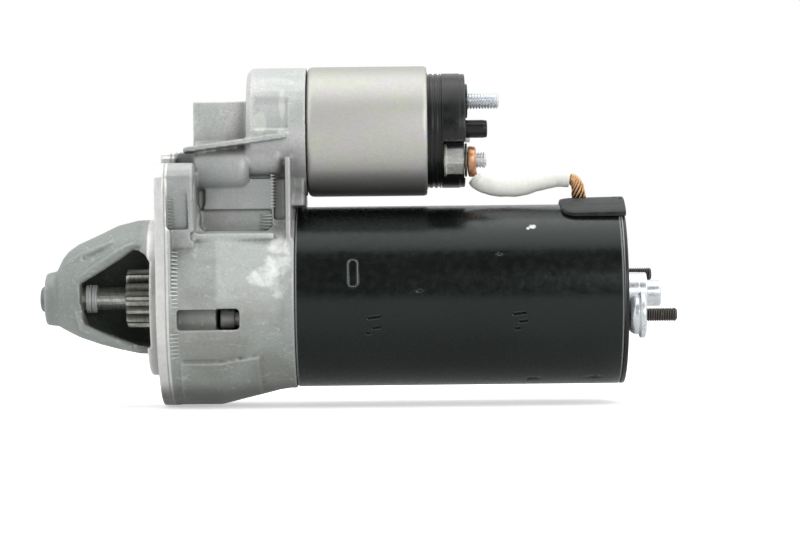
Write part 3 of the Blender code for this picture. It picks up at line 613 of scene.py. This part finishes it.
def nose_ridges(solids):
    """Low raised borders of the nose's window, the ridge up to the pilot and the hub."""
    ridge = [(-46.0, 8.0, 7.4), (-42.5, 10.4, 11.8), (-38.5, 13.0, 15.0), (-33.0, 14.8, 18.0)]
    ridge += [(-26.0, 16.4, 21.0), (-18.0, 17.0, 24.0), (-8.0, 16.6, 26.0)]
    for side in (-1, 1):
        solids.tube([(x, side * y, z) for x, y, z in ridge], [0.8, 1.6, 2.2, 2.4, 2.3, 1.9, 0.9])
    border = [(-36.4, 16.6, 6.6), (-34.6, 18.8, 8.4), (-30.0, 20.6, 11.4), (-24.0, 22.2, 15.0)]
    border += [(-18.0, 22.8, 18.8), (-14.0, 22.8, 21.2), (-11.5, 22.6, 22.4), (-8.6, 22.4, 22.2)]
    solids.tube([(x, -y, z) for x, y, z in border], [1.2, 2.0, 2.3, 2.4, 2.4, 2.2, 1.7, 0.9])
    sill = [(-36.6, 17.4, 0.0), (-35.8, 18.0, -5.0), (-33.6, 18.6, -11.8)]
    sill += [(-24.0, 19.0, -16.6), (-12.0, 19.0, -20.8)]
    solids.tube([(x, -y, z) for x, y, z in sill], [0.8, 1.5, 1.9, 2.0, 1.4])
    hub = [(-50.9, 9.8, 0.0), (-50.9, 10.2, 0.5), (-49.4, 11.4, 0.7), (-46.5, 11.7, 0.6), (-44.0, 12.0)]
    solids.rings(turned_rings(rounded(hub), (0, 0.1), 48))


def case_forms(solids):
    """Larger cast forms: pad, seat floor, bulges, ribs, lug and the block on the far ear."""
    for side in (-1, 1):
        mirror = 0 if side < 0 else 180
        pad = [mirror - side * a for a in (-74.0, -35.5)]
        solids.sector([(x, r - 3.0, r + 0.9) for x, r in PAD_RADII], pad, CASE_Z)
        floor = [mirror - side * a for a in (-6.0, 46.0)]
        solids.sector([(x, 21.6, 26.6) for x in (38.8, 56.2)], floor, SOLENOID_Z)
        for x0, x1, y, z, radius in ((15.0, 39.4, 20.0, 55.2, 9.2), (36.0, 54.6, 18.2, 59.8, 8.6)):
            bulge = [(x0, radius - 2.0), (x0 + 1.0, radius, 0.8)]
            bulge += [(x1 - 3.2, radius, 2.4), (x1, radius - 3.4, 1.6)]
            rings = turned_rings(rounded(bulge), (side * y, z), 48, 0.05)
            rings[:, :, 1] = side * np.maximum(side * rings[:, :, 1], BULGE_INNER_Y)
            solids.rings(rings)
        sloping_rib = [(12.0, 61.9), (54.4, 67.5), (54.4, 69.7), (12.0, 64.1)]
        solids.prism(sloping_rib, side * 18.0, side * 29.4)
        web = [(9.0, 38.0), (17.4, 38.0), (15.8, 41.0), (15.2, 46.0), (14.6, 50.0), (9.0, 50.0)]
        solids.prism(web, side * 22.0, side * 24.6)
        lug = [(14.0, 39.0), (24.6, 39.0), (24.6, 41.0), (19.6, 47.0), (18.6, 52.0), (14.0, 55.5)]
        solids.prism([(side * y, z) for y, z in lug], 55.6, 61.6, "X")
        rib_foot = [(31.5, 22.0), (31.5, 31.0), (24.0, 31.0), (28.5, 25.5)]
        solids.prism([(side * y, z) for y, z in rib_foot], 53.9, 56.1, "X")
    solids.prism([(-0.6, 57.0), (13.4, 57.0), (13.4, 62.6), (0.4, 62.2), (-0.6, 61.2)], -6.0, 36.0)


def fine_teeth(solids):
    """The serrated fillet behind the flange and the fluted ends of the pockets."""
    tooth = ((5.5, 1.3, 0.5), (6.6, 0.9, 0.55), (8.6, 0.3, 0.4), (9.4, -0.2, 0.2))
    for k in range(31):
        z = -24.5 + 1.62 * k
        fade = 1.0 if z > 0 else 0.5
        if abs(z - POCKET_Z) < POCKET_CLEAR:
            continue
        angle = math.asin((z - CASE_Z) / CASE_R)
        for side in (-1, 1):
            rings = []
            for x, rise, half in tooth:
                ring = []
                top = rise * fade
                corners = ((-1, half), (top, half * 0.6), (top, -half * 0.6), (-1, -half))
                for lift, width in corners:
                    radius, a = CASE_R + lift, angle + width / CASE_R
                    ring.append((x, side * radius * math.cos(a), CASE_Z + radius * math.sin(a)))
                rings.append(ring if side < 0 else ring[::-1])
            solids.rings(rings)
    for side in (-1, 1):
        for k in range(11):
            z = 38.7 + 1.32 * k
            flute = [(47.4, z - 0.55), (49.6, z), (47.4, z + 0.55)]
            solids.prism(flute, side * 17.4, side * 23.6)
        for k in range(5):
            z = 29.6 + 1.35 * k
            flute = [(48.4, z - 0.45), (42.6, z), (48.4, z + 0.45)]
            solids.prism(flute, side * 21.2, side * 22.7)
    for k in range(9):
        z = 30.0 + 1.4 * k
        y = -49.3 + (46.0 - z) * 0.4
        solids.prism([(4.8, z - 0.45), (8.0, z), (4.8, z + 0.45)], y - 0.45, y + 0.6)


def make_housing():
    """The casting: its pockets cut deeper, its cast forms fused on, and the fine teeth added."""
    casting = placed("casting", Solids(NODES["drive_end_housing"].data).mesh())
    tools = Solids()
    tools.prism([(-1.0, 56.9), (9.0, 56.9), (9.0, 70.0), (-1.0, 70.0)], -60.0, NEAR_STEP_Y)
    tools.prism([(-60.0, 29.0), (-60.0, 46.0), (-49.3, 46.0), (-42.5, 29.0)], 5.0, 13.8, "X")
    for side in (-1, 1):
        for depth, outline in (
            (22.0, [(17.4, 30.2), (19.4, 28.2), (46, 28.2), (48, 30.2), (48, 37.6), (17.4, 37.6)]),
            (23.5, [(16.6, 35.8), (50.6, 35.8), (50.6, 46.0), (16.6, 46.0)]),
            (21.4, [(48.6, 33.0), (53.6, 33.0), (53.6, 53.4), (48.6, 53.4)]),
            (20.8, [(16.4, 37.0), (18.4, 37.0), (19.4, 40.0), (19.4, 47.0), (16.4, 47.0)]),
        ):
            tools.prism(outline, side * depth, side * 60.0)
        mirror = 0 if side < 0 else 180
        pad_end = ((42.4, 41.2), (43.8, 40.9))
        for span, radii in (((-35.6, -34.0), PAD_RADII), ((-62.0, -34.0), pad_end)):
            groove = [mirror - side * a for a in span]
            tools.sector([(x + 0.4, r - 0.9, r + 4.0) for x, r in radii], groove, CASE_Z)
        shelf_front = [(14.4, -39.6), (49.6, -32.9), (49.6, -46.0), (14.4, -46.0)]
        tools.rings([[(x, -side * y, z) for x, y in shelf_front] for z in (24.2, 28.0)])
    solids = Solids(cut_away(casting, tools))
    nose_ridges(solids)
    case_forms(solids)
    obj = placed("casting", solids.mesh())
    remesh = obj.modifiers.new("fuse", "REMESH")
    remesh.mode = "VOXEL"
    remesh.voxel_size = 0.6 * MM
    smooth = obj.modifiers.new("ease", "SMOOTH")
    smooth.factor = 0.5
    smooth.iterations = 4
    solids = Solids(settle(obj))
    fine_teeth(solids)
    mesh = solids.mesh()
    made("housing_casting", mesh, "cast_aluminium", "drive_end_housing", sharp=40)


def gear_rings(teeth, root, tip, sections):
    """Rings of a spur gear's outline with rounded tips and roots, at x and scale pairs."""
    outline = []
    pitch = TURN / teeth
    shape = [(root, -0.40), (root, -0.30), (root + 0.9, -0.24), ((root + tip) / 2, -0.19)]
    shape += [(tip - 0.5, -0.13), (tip, -0.10)]
    for i in range(teeth):
        middle = pitch * (i + 0.5)
        for radius, share in (*shape, *((r, -q) for r, q in reversed(shape))):
            outline.append((radius, middle + pitch * share))
    rings = []
    for x, limit in sections:
        held = [(min(r, limit), a) for r, a in outline]
        rings.append([(x, r * math.cos(a), r * math.sin(a)) for r, a in held])
    return np.array(rings)


PINION_TEETH = 13


def make_pinion():
    """The pinion's teeth with chamfered fronts on the race that runs into the clutch."""
    front, end = span("pinion")[:2]
    tip, root, bore = 12.55, 9.1, 5.15  # radii
    back = -1.5
    sections = [(front, tip - 0.6), (front + 0.6, tip), (back, tip)]
    teeth = gear_rings(PINION_TEETH, root, tip, sections)
    count = teeth.shape[1]
    race = [(back, 8.4), (7.0, 8.4), (7.0, 9.3), (end, 9.3), (end, 6.4), (back, 6.4)]
    race += [(back, bore), (front + 0.4, bore), (front, bore + 0.4)]
    race = turned_rings(race, (0, 0), count, TURN / PINION_TEETH * 0.1)
    mesh = skin([*teeth, *race], "join")
    made("pinion_cut", mesh, "steel", "pinion", body="pinion_body", sharp=30, finish=GEAR_STEEL)


def make_stop_rings():
    """The pinion stop on the shaft: a grooved collar and the snap ring in front of it."""
    for node, groove in (("stop_collar", 0.5), ("stop_snap_ring", 0.35)):
        x0, x1 = span(node)[:2]
        middle, radius = (x0 + x1) / 2, extent(node)[1][1]
        profile = [(x0, 5.05), (x0, radius, 0.35), (middle - 0.2, radius, 0.1)]
        profile += [(middle, radius - groove, 0.1), (middle + 0.2, radius, 0.1)]
        profile += [(x1, radius, 0.35), (x1, 5.05)]
        mesh = turned(profile, sides=64)
        made(node + "_turned", mesh, "steel", node, body="drive", sharp=25, finish=RING_STEEL)


def make_nose_cap():
    """The plug over the nose bearing, slightly domed."""
    low, high = extent("nose_cap")
    x0, radius = low[0], high[1]
    profile = [(x0, 0), (x0, radius * 0.55, 0.6), (x0 + 0.5, radius * 0.85, 0.8)]
    profile += [(x0 + 2.2, radius, 0.8), (high[0], radius), (high[0], 0)]
    mesh = turned(profile, sides=48)
    made("nose_cap_domed", mesh, "dark_steel", "nose_cap", finish=CAP_STEEL)


SLOT_X, SLOT_Z = 82.1, 9.9  # the middle of the embossed slot outline
EMBOSSED, PUNCHED = 0.34, 0.55  # how high and how deep the yoke's marks are
PUNCH_MARKS = (  # x, z and half length of the punched marks and pinholes
    (91.0, -8.7, 2.7),
    (91.8, -13.0, 1.7),
    (88.6, -15.3, 1.1),
    (152.2, -7.6, 2.8),
    (153.6, -10.9, 1.9),
    (151.2, -13.9, 1.4),
    (110.4, 2.2, 0.5),
    (144.0, 17.6, 0.4),
    (158.0, -35.8, 2.0),
    (184.0, -35.4, 2.0),
)


def make_yoke():
    """The painted tube, with an embossed slot outline, short punched marks and pinholes."""
    low, high = extent("yoke")
    radius = high[1]
    spans = ((79, 85.4), (86, 95), (148, 158), (109.5, 111.5), (143, 145))
    fine = [np.arange(*span, 0.3) for span in spans]
    xs = np.concatenate([np.linspace(low[0] + 0.8, high[0] - 0.8, 70), *fine])
    xs = np.unique(np.round(xs, 3))
    near = np.radians(np.arange(150, 210, 0.5))
    under = np.radians(np.arange(210, 258, 1.0))
    rest = np.radians(np.arange(258, 510, 2.0))
    angles = np.concatenate([near, under, rest])
    rings = [(low[0], radius - 2.7), (low[0], radius - 0.4), (low[0] + 0.4, radius)]
    rings += [(x, radius) for x in xs]
    rings += [(high[0] - 0.4, radius), (high[0], radius - 0.4), (high[0], radius - 2.7)]
    points = []
    for x, r in rings:
        z = radius * np.sin(angles)
        depth = np.zeros_like(angles)
        if r == radius:
            facing = np.cos(angles) < 0
            across = np.maximum(np.abs(x - SLOT_X) - 0.4, 0)
            along = np.maximum(np.abs(z - SLOT_Z) - 3.9, 0)
            edge = np.abs(np.hypot(across, along) - 1.6)
            depth += facing * EMBOSSED * np.exp(-((edge / 0.3) ** 2))
            for mark_x, mark_z, half in PUNCH_MARKS:
                past = np.maximum(np.abs(x - mark_x) - half, 0) / 0.4
                aside = (z - mark_z - 0.12 * (x - mark_x)) / 0.42
                depth -= facing * PUNCHED * np.exp(-(past**2) - aside**2)
        points.append(ring_at(x, r + depth, angles))
    made("yoke_tube", skin(points, "join"), "black_paint", "yoke")


def make_can():
    """The drawn can, with a soft front edge."""
    x0, x1, _, z = span("solenoid_can")
    radius = extent("solenoid_can")[1][2] - z
    profile = [(x0, 10.8), (x0, radius, 2.8), (x1, radius, 2.2)]
    profile += [(x1, 25.5), (x0 + 4.0, 25.5), (x0 + 4.0, 10.8)]
    mesh = turned(profile, (0, z), 128)
    made("solenoid_shell", mesh, "zinc", "solenoid_can")


def make_cover():
    """The moulded cover: a ribbed collar, then a block with the terminal recess."""
    x0, end, _, z = span("switch_cover")
    radius = 24.7
    profile = [(x0, 20.6), (x0, 25.1), (114.5, 25.1)]
    profile += [(114.5, radius - 0.3), (115.4, radius - 0.3, 0.2)]
    for x in (115.4, 117.5):
        profile += [(x, radius, 0.4), (x + 1.2, radius, 0.4)]
        profile += [(x + 1.2, radius - 0.5, 0.3), (x + 2.1, radius - 0.5, 0.3)]
    profile += [(119.6, radius, 0.2), (120.1, radius, 0.1), (120.1, radius - 0.9)]
    profile += [(120.4, radius - 0.9), (120.4, radius, 0.4), (end - 2.4, radius, 0.2)]
    profile += [(end - 2.2, radius - 0.25, 0.1), (end, radius - 0.25, 0.6)]
    profile += [(end, 0), (119.8, 0), (119.8, 20.6)]
    outline = [(x, max(r, 0.01)) for x, r in rounded(profile, 3)]
    cover = placed("cover", skin(turned_rings(outline, (0, z), 120), "join"))
    tools = Solids()
    recess = [(120.9, -20.2), (120.9, -5.6), (121.5, -5.0), (140.0, -5.0)]
    recess += [(140.0, -20.8), (121.5, -20.8)]
    tools.prism([(x, z + rise) for x, rise in recess], -40.0, 8.4)
    for node in ("battery_stud", "motor_stud"):
        hole = [(118.0, STUD_R + 0.3), (140.0, STUD_R + 0.3)]
        tools.rings(turned_rings(hole, (0, span(node)[3]), 40, 0.1))
    mesh = cut_away(cover, tools)
    made("switch_cover_moulding", mesh, "black_plastic", "switch_cover")


def make_studs():
    """Threaded battery and motor studs."""
    for name in ("battery_stud", "motor_stud"):
        x0, end, _, z = span(name)
        radius = STUD_R
        blank = [(x0, 0), (x0, 5.6, 0.3), (119.5, 5.6, 0.3), (119.5, radius)]
        blank += [(130.4, radius), (end - 0.9, radius, 0.3), (end, radius - 0.9, 0.2), (end, 0)]
        mesh = threaded(blank, 130.6, end - 1.0, pitch=1.25, depth=0.6, center=(0, z))
        made(name + "_thread", mesh, "zinc", name, sharp=40, finish=BRIGHT_ZINC)


def make_nut():
    """The hexagon nut of the motor stud, with a flange at its foot."""
    x0, x1, _, z = span("motor_stud_nut")
    reach, sides = 6.5, 72
    angles = TURN * np.arange(sides) / sides
    flat = reach * math.cos(math.pi / 6) / np.cos((angles - NUT_TURN) % (TURN / 6) - TURN / 12)
    rings = []
    flange = [(x0, 7.0), (x0 + 0.2, 7.3), (x0 + 0.9, 7.3), (x0 + 1.1, 6.9)]
    hexagon = [(x0 + 1.4, 0.0), (x1 - 0.6, 0.0), (x1, -0.7)]
    for x, limit in (*flange, *hexagon):
        radius = np.full(sides, limit) if limit > 0 else np.minimum(flat, reach + limit - 0.02)
        rings.append(ring_at(x, radius, angles, (0, z)))
    inner = turned_rings([(x1, STUD_R + 0.25), (x0, STUD_R + 0.25)], (0, z), sides)
    mesh = skin([*rings, *inner], "join")
    made("motor_stud_hex_nut", mesh, "zinc", "motor_stud_nut", sharp=20, finish=NUT_ZINC)


def make_terminal_parts():
    """The battery stud's pad, the motor stud's washer and the control terminal's post."""
    hole = STUD_R + 0.2
    x0, _, _, z = span("battery_stud_pad")
    reach = extent("battery_stud_pad")[1][2] - z
    profile = [(x0 - 0.2, hole), (x0 - 0.2, reach), (131.7, reach, 0.5), (131.9, hole)]
    mesh = turned(profile, (0, z), 72)
    made("battery_pad", mesh, "black_plastic", "battery_stud_pad")
    x0, x1, _, z = span("motor_stud_washer")
    profile = [(x0, hole), (x0, 7.2, 0.2), (x1, 7.2, 0.2), (x1, hole)]
    mesh = turned(profile, (0, z), 72)
    made("motor_washer", mesh, "zinc", "motor_stud_washer", finish=CHROMATE)
    x0, end, _, z = span("control_terminal")
    profile = [(x0 - 0.2, 0), (x0 - 0.2, 3.9), (end - 1.5, 3.9, 0.15)]
    profile += [(end - 1.3, 3.75, 0.15), (end, 3.75, 1.3), (end, 0)]
    mesh = turned(profile, (0, z), 64)
    made("control_post", mesh, "black_plastic", "control_terminal", sharp=30)


def make_lug():
    """The copper eye on the motor stud, thick where the lead is pressed into it."""
    front = span("lead_lug")[0]
    middle = span("motor_stud")[3]
    angles = TURN * np.arange(64) / 64
    tail = np.exp(-(((angles - TURN * 0.72 + TURN / 2) % TURN - TURN / 2) / 0.5) ** 2)
    rings = []
    for x, ease in ((front, 0.5), (front + 0.3, 0.1), (133.2, 0.0), (134.6, 0.2), (135.2, 0.8)):
        rings.append(ring_at(x + 0.5 * tail, 6.0 + 1.5 * tail - ease, angles, (-0.4, middle)))
    for x in (135.2, front):
        rings.append(ring_at(x, STUD_R + 0.25, angles, (0, middle)))
    made("lead_eye", skin(rings, "join"), "copper", "lead_lug", sharp=40)


def make_bolts():
    """The two through-bolts: shank and head inside, rolled thread outside."""
    for name in ("through_bolt_near", "through_bolt_far"):
        x0, end, *center = span(name)
        radius = 2.9
        blank = [(x0, 0), (x0, 4.1, 0.5), (32.0, 4.1, 0.3), (32.0, radius)]
        blank += [(end - 0.9, radius, 0.3), (end, radius - 0.9, 0.2), (end, 0)]
        mesh = threaded(blank, 198.5, end - 1.0, pitch=1.0, depth=0.52, center=center, sides=40)
        made(name + "_thread", mesh, "dark_steel", name, sharp=40)


def end_cover_finish():
    """Black paint on the cover, unpainted plating on its drum, and a painted highlight along the seam
    that fades out towards the bottom.
    """
    f = Finish("end_cover", Specular_IOR_Level=0.5)
    x, z = f.axis(0), f.axis(2)
    bare_drum_and_seam_highlight = f.ramp(f.sums("ADD", f.radial(), f.cloud(1.5)), 10.4, 10.2)
    # painted highlight: bright plating along the seam, strongest at the top
    seam = f.times(f.ramp(x, 196.9, 196.6), f.ramp(x, 196.1, 196.2))
    seam = f.times(seam, f.ramp(z, -12.0, 20.0, 0.0, 0.4))
    bare_drum_and_seam_highlight = f.sums("MAXIMUM", bare_drum_and_seam_highlight, seam)
    patch = f.cloud(2.0, 3.0, 0.6)
    bright = f.blend(f.ramp(patch, 0.35, 0.65), (0.80, 0.84, 0.87), (0.90, 0.94, 0.97))
    f.ground(bare_drum_and_seam_highlight, (0.005, 0.006, 0.0055), bright)
    f.set("Metallic", f.times(bare_drum_and_seam_highlight, 0.85))
    f.polish(patch, 0.26, 0.38)
    f.bumps((f.cloud(3.2, 2.0), 0.01))
    return f.material


def make_rear():
    """End cover with its drum, the cap on it and the cupped nut of the near bolt."""
    yoke_r = extent("yoke")[1][1]
    x0, drum = span("end_cover")[:2]
    seam, end = 196.3, 198.2
    profile = [(x0, 33.85), (x0, 35.75), (seam, 35.75), (seam, yoke_r, 0.25)]
    profile += [(end, yoke_r, 1.2), (end, 24.0, 0.3), (end - 0.5, 22.6, 0.3), (end - 0.5, 12.0, 0.8)]
    profile += [(end + 0.1, 9.1, 0.7), (204.6, 9.1, 0.3), (204.9, 9.0, 0.3), (drum, 9.0, 0.9)]
    profile += [(drum, 7.7), (196.2, 7.7), (196.2, 33.85)]
    mesh = turned(profile, sides=128)
    finish = end_cover_finish()
    made("end_cover_drum", mesh, "zinc", "end_cover", sharp=30, finish=finish)
    x0, x1 = span("bearing_cap")[:2]
    start = max(drum - 0.6, span("rear_bushing")[1] + 0.1)
    profile = [(x0, 0), (x0, 5.65), (start, 5.65), (start, 7.5)]
    profile += [(start + 0.5, 7.5, 0.2), (start + 0.5, 5.65)]
    profile += [(x1, 5.65, 1.2), (x1, 3.0, 0.4), (x1 - 0.2, 0)]
    mesh = turned(profile, sides=64)
    made("bearing_cap_turned", mesh, "zinc", "bearing_cap", finish=BRIGHT_ZINC)
    x0, x1, *center = span("flange_nut")
    profile = [(x0, 3.2), (x0 + 0.3, 6.9, 0.4), (x0 + 2.0, 8.2, 1.2)]
    profile += [(202.4, 8.35, 0.2), (202.7, 8.1, 0.1), (203.0, 9.5, 0.2), (203.4, 9.8, 0.2)]
    profile += [(204.9, 9.8, 0.4), (x1, 8.9, 0.3), (x1, 3.2)]
    mesh = turned(profile, center, 80)
    made("flange_nut_cup", mesh, "zinc", "flange_nut", sharp=30, finish=BRIGHT_ZINC)


def smooth_route(points, steps=10):
    """A smooth curve through the route's points (Catmull-Rom)."""
    points = [Vector(p) for p in points]
    padded = [2 * points[0] - points[1], *points, 2 * points[-1] - points[-2]]
    curve = []
    for a, b, c, d in zip(padded, padded[1:], padded[2:], padded[3:]):
        for k in range(steps):
            t = k / steps
            bend = (2 * a - 5 * b + 4 * c - d) * t * t + (3 * b - a - 3 * c + d) * t**3
            curve.append(0.5 * (2 * b + (c - a) * t + bend))
    curve.append(points[-1])
    return curve


def frames(route):
    """Two cross directions at each point of a route, carried along without twist."""
    result = []
    side = None
    for i in range(len(route)):
        along = (route[min(i + 1, len(route) - 1)] - route[max(i - 1, 0)]).normalized()
        if side is None:
            side = along.cross(Vector((0, 1, 0))).normalized()
        side = (side - along * side.dot(along)).normalized()
        result.append((side, along.cross(side)))
    return result


SLEEVE_ROUTE = (
    (134.6, -1.6, 50.2),
    (136.4, -2.4, 48.4),
    (139.8, -3.2, 46.9),
    (145.7, -4.2, 45.6),
    (154.4, -4.6, 45.9),
    (163.0, -4.2, 48.2),
    (169.5, -3.4, 49.5),
    (174.6, -2.6, 49.8),
)
BRAID_ROUTE = ((176.0, -2.4, 49.7), (177.5, -2.3, 49.0), (178.9, -2.2, 46.4), (179.6, -2.0, 41.3))
SLEEVE_R = 3.35
WEAVE = 0.035  # how far the sleeve's threads stand out


def make_lead():
    """The woven sleeve, with its wrinkles and open end, and the twisted strands."""
    route = smooth_route(SLEEVE_ROUTE)
    count = len(route)
    sides = 48
    rings = []
    spans = frames(route)
    for i in range(count):
        share = i / (count - 1)
        flare = 0.45 * max(0.0, (share - 0.86) / 0.14) ** 2 - 0.25 * max(0.0, (0.08 - share) / 0.08)
        crease = 0.10 * math.sin(share * 31) + 0.07 * math.sin(share * 67 + 1)
        side, other = spans[i]
        ring = []
        for k in range(sides):
            a = TURN * k / sides
            weave = WEAVE * math.sin(a * 12 + i * 1.2) * math.sin(a * 12 - i * 1.2)
            r = SLEEVE_R + flare + crease * math.cos(a * 2 + share * 5) + weave
            ring.append(route[i] + r * (math.cos(a) * side + math.sin(a) * other))
        rings.append(ring)
    inner = [[route[-1] + (p - route[-1]) * 0.8 for p in rings[-1]]]
    inner.append([route[-4] + (p - route[-4]) * 0.78 for p in rings[-4]])
    mesh = skin([*rings, *inner])
    sleeve = made("lead_sleeve_woven", mesh, "sleeve", "lead_sleeve", sharp=50)
    make_strands()


def make_strands():
    """Bare copper strands twisted together, spreading out on the grommet."""
    route = smooth_route(BRAID_ROUTE)
    spans = frames(route)
    solids = Solids()
    strands = [(1.0, 0.72, TURN * k / 9, 4.4) for k in range(9)]
    strands += [(0.42, 0.75, TURN * k / 4, 3.0) for k in range(4)]
    for layer, thickness, start, twist in strands:
        path, radii = [], []
        for i, point in enumerate(route):
            share = i / (len(route) - 1)
            wobble = 0.12 * math.sin(share * 14 + start * 5)
            spread = layer * (1.75 + 0.95 * share**2 + wobble)
            a = start + share * twist
            side, other = spans[i]
            path.append(point + spread * (math.cos(a) * side + math.sin(a) * other))
            radii.append(thickness * (1 - 0.3 * share))
        solids.tube(path, radii, 9)
    mesh = solids.mesh()
    return made("motor_lead_strands", mesh, "copper", "motor_lead", sharp=60, finish=STRAND_COPPER)


def make_grommet():
    """The rubber saddle: a rounded front end, a lip along its edge and a rise to the rear."""
    x0, x1 = span("cable_grommet")[:2]
    inner, steps = 39.1, 40
    rings = []
    front = [x0 + step for step in (0, 0.15, 0.6, 1.4, 2.6, 4.2, 6)]
    for x in (*front, *np.arange(x0 + 8, x1 - 1, 2), x1 - 0.5, x1):
        end = math.sqrt(max(0.0, 1 - (1 - min(1.0, (x - x0) / 6.0)) ** 2))
        start, stop = -19.6 + 5.0 * (1 - end), 31.8 - 8.0 * (1 - end)
        rise = 1.5 + 0.5 * end + 0.5 * (x - x0) / (x1 - x0) - (0.35 if x == x1 else 0.0)
        if x == x0:
            rise -= 0.8
        outline = [(inner, a) for a in np.linspace(start, stop, steps)]
        for a in np.linspace(stop, start, steps):
            edge = min(a - start, stop - a)
            ease = 0.45 * math.exp(-edge / 0.5)
            crease = 0.28 * math.exp(-(((a - stop + 8.5) / 0.9) ** 2)) * end
            crown = 0.35 * math.exp(-(((a - 4) / 13) ** 2)) * end
            outline.append((inner + rise - ease - crease + crown, a))
        polar = [(r, math.radians(a)) for r, a in outline]
        rings.append([(x, -r * math.sin(a), r * math.cos(a)) for r, a in polar])
    made("grommet_saddle", skin(rings), "rubber", "cable_grommet", sharp=50)
    knobs = Solids()
    for x, y, radius in ((194.4, -5.5, 1.1), (196.9, -8.5, 1.0)):
        z = math.sqrt(41.3**2 - y**2)
        knob = [(z - 1.0, radius), (z + 0.3, radius), (z + 0.7, radius * 0.75), (z + 0.85, radius * 0.3)]
        circle = [(math.cos(TURN * k / 20), math.sin(TURN * k / 20)) for k in range(20)]
        knobs.rings([[(x + r * c, y + r * d, height) for c, d in circle] for height, r in knob])
    made("grommet_knobs", knobs.mesh(), "rubber", sharp=60)


def make_return_spring():
    """The plunger's return spring, on its own copy of the CAD wire."""
    wire = NODES["plunger_spring"].data.copy()
    spring = made("return_spring", wire, "steel", "plunger_spring", sharp=60)
    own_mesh(spring)


carry_over()
make_return_spring()
make_housing()
make_pinion()
make_stop_rings()
make_nose_cap()
make_yoke()
make_can()
make_cover()
make_studs()
make_nut()
make_terminal_parts()
make_bolts()
make_rear()
make_lug()
make_lead()
make_grommet()


# ---- stage

WHITE = (1, 1, 1, 1)
FLOOR_R = 30.0  # metres
FLOOR_GAP = 0.0005
MIDDLE_LIGHT, SIDE_LIGHT, BACK_LIGHT = 0.11, 1.15, 1.0


def make_floor():
    """A pale floor. As light it glows softly under the part; the camera sees it near white."""
    bm = bmesh.new()
    bmesh.ops.create_circle(bm, cap_ends=True, segments=64, radius=FLOOR_R)
    mesh = bpy.data.meshes.new("floor")
    bm.to_mesh(mesh)
    bm.free()
    floor = placed("floor", mesh)
    floor.location = (0, 0, cad_low[2] - FLOOR_GAP)
    f = Finish("floor", (0.58, 0.58, 0.58), roughness=0.9)
    f.paint(f.ramp(f.cloud(30.0), 0.3, 0.7), (0.63, 0.63, 0.63))
    x, y = f.axis(0), f.axis(1)
    under = f.times(f.ramp(f.sums("ABSOLUTE", y), 50.0, 15.0), f.ramp(x, 240.0, 180.0))
    f.set("Emission Color", WHITE)
    f.set("Emission Strength", f.times(under, 0.24))
    pale = {"Base Color": (0.93, 0.93, 0.93, 1), "Roughness": 0.9}
    pale.update({"Emission Color": WHITE, "Emission Strength": 0.42})
    seen = f.node("BsdfPrincipled", pale)
    path = f.node("LightPath", {})
    shaders = {1: f.shader.outputs[0], 2: seen.outputs[0]}
    mix = f.node("MixShader", {0: path.outputs["Is Camera Ray"], **shaders})
    f.tree.links.new(mix.outputs[0], f.tree.nodes["Material Output"].inputs["Surface"])
    mesh.materials.append(f.material)


def make_world():
    """White behind the part for the camera; as light, bright sides and back, a dim middle."""
    world = bpy.data.worlds.new("studio")
    world.use_nodes = True
    tree = world.node_tree
    tree.nodes.clear()
    split = add_node(tree, "SeparateXYZ", {0: add_node(tree, "TexCoord", {}).outputs["Generated"]})
    aside = add_node(tree, "Math", {0: split.outputs["X"]}, operation="ABSOLUTE").outputs[0]
    sides = {0: aside, 1: 0.22, 2: 0.5, 3: MIDDLE_LIGHT, 4: SIDE_LIGHT}
    front = add_node(tree, "MapRange", sides).outputs[0]
    depths = {0: split.outputs["Y"], 1: -0.4, 2: 0.3, 3: front, 4: BACK_LIGHT}
    strength = add_node(tree, "MapRange", depths).outputs[0]
    light = add_node(tree, "Background", {"Color": WHITE, "Strength": strength})
    backdrop = add_node(tree, "Background", {"Color": WHITE})
    seen = add_node(tree, "LightPath", {}).outputs["Is Camera Ray"]
    mix = add_node(tree, "MixShader", {0: seen, 1: light.outputs[0], 2: backdrop.outputs[0]})
    tree.links.new(mix.outputs[0], add_node(tree, "OutputWorld", {}).inputs[0])
    bpy.context.scene.world = world


def make_lamp(name, place, aim, size, power):
    """A soft rectangular lamp at a place, aimed at a point; metres and watts."""
    lamp = bpy.data.lights.new(name, "AREA")
    lamp.shape = "RECTANGLE"
    lamp.size, lamp.size_y = size
    lamp.energy = power
    obj = placed(name, lamp)
    obj.location = place
    obj.rotation_euler = (Vector(aim) - Vector(place)).to_track_quat("-Z", "Y").to_euler()


CAMERA_X, CAMERA_Z, CAMERA_AWAY = 0.102, 0.0126, 1.25
CAMERA_ROLL = math.radians(0.6)


def make_camera():
    """A long lens square to the motor's side, turned by the photograph's slight tilt."""
    camera = bpy.data.cameras.new("camera")
    camera.lens = 130.0
    camera.sensor_width = 36.0
    obj = placed("camera", camera)
    turn = Matrix.Rotation(CAMERA_ROLL, 4, "Y") @ Matrix.Rotation(math.pi / 2, 4, "X")
    obj.matrix_world = Matrix.Translation((CAMERA_X, -CAMERA_AWAY, CAMERA_Z)) @ turn
    bpy.context.scene.camera = obj


make_floor()
make_world()
make_lamp("overhead", (0.1, -0.08, 1.2), (0.1, -0.08, 0.0), (1.9, 1.2), 9.2)
make_lamp("front_fill", (0.5, -0.9, 0.3), (-0.02, 0.0, 0.0), (0.3, 0.3), 1.7)
make_camera()
bpy.context.scene.view_settings.view_transform = "Standard"
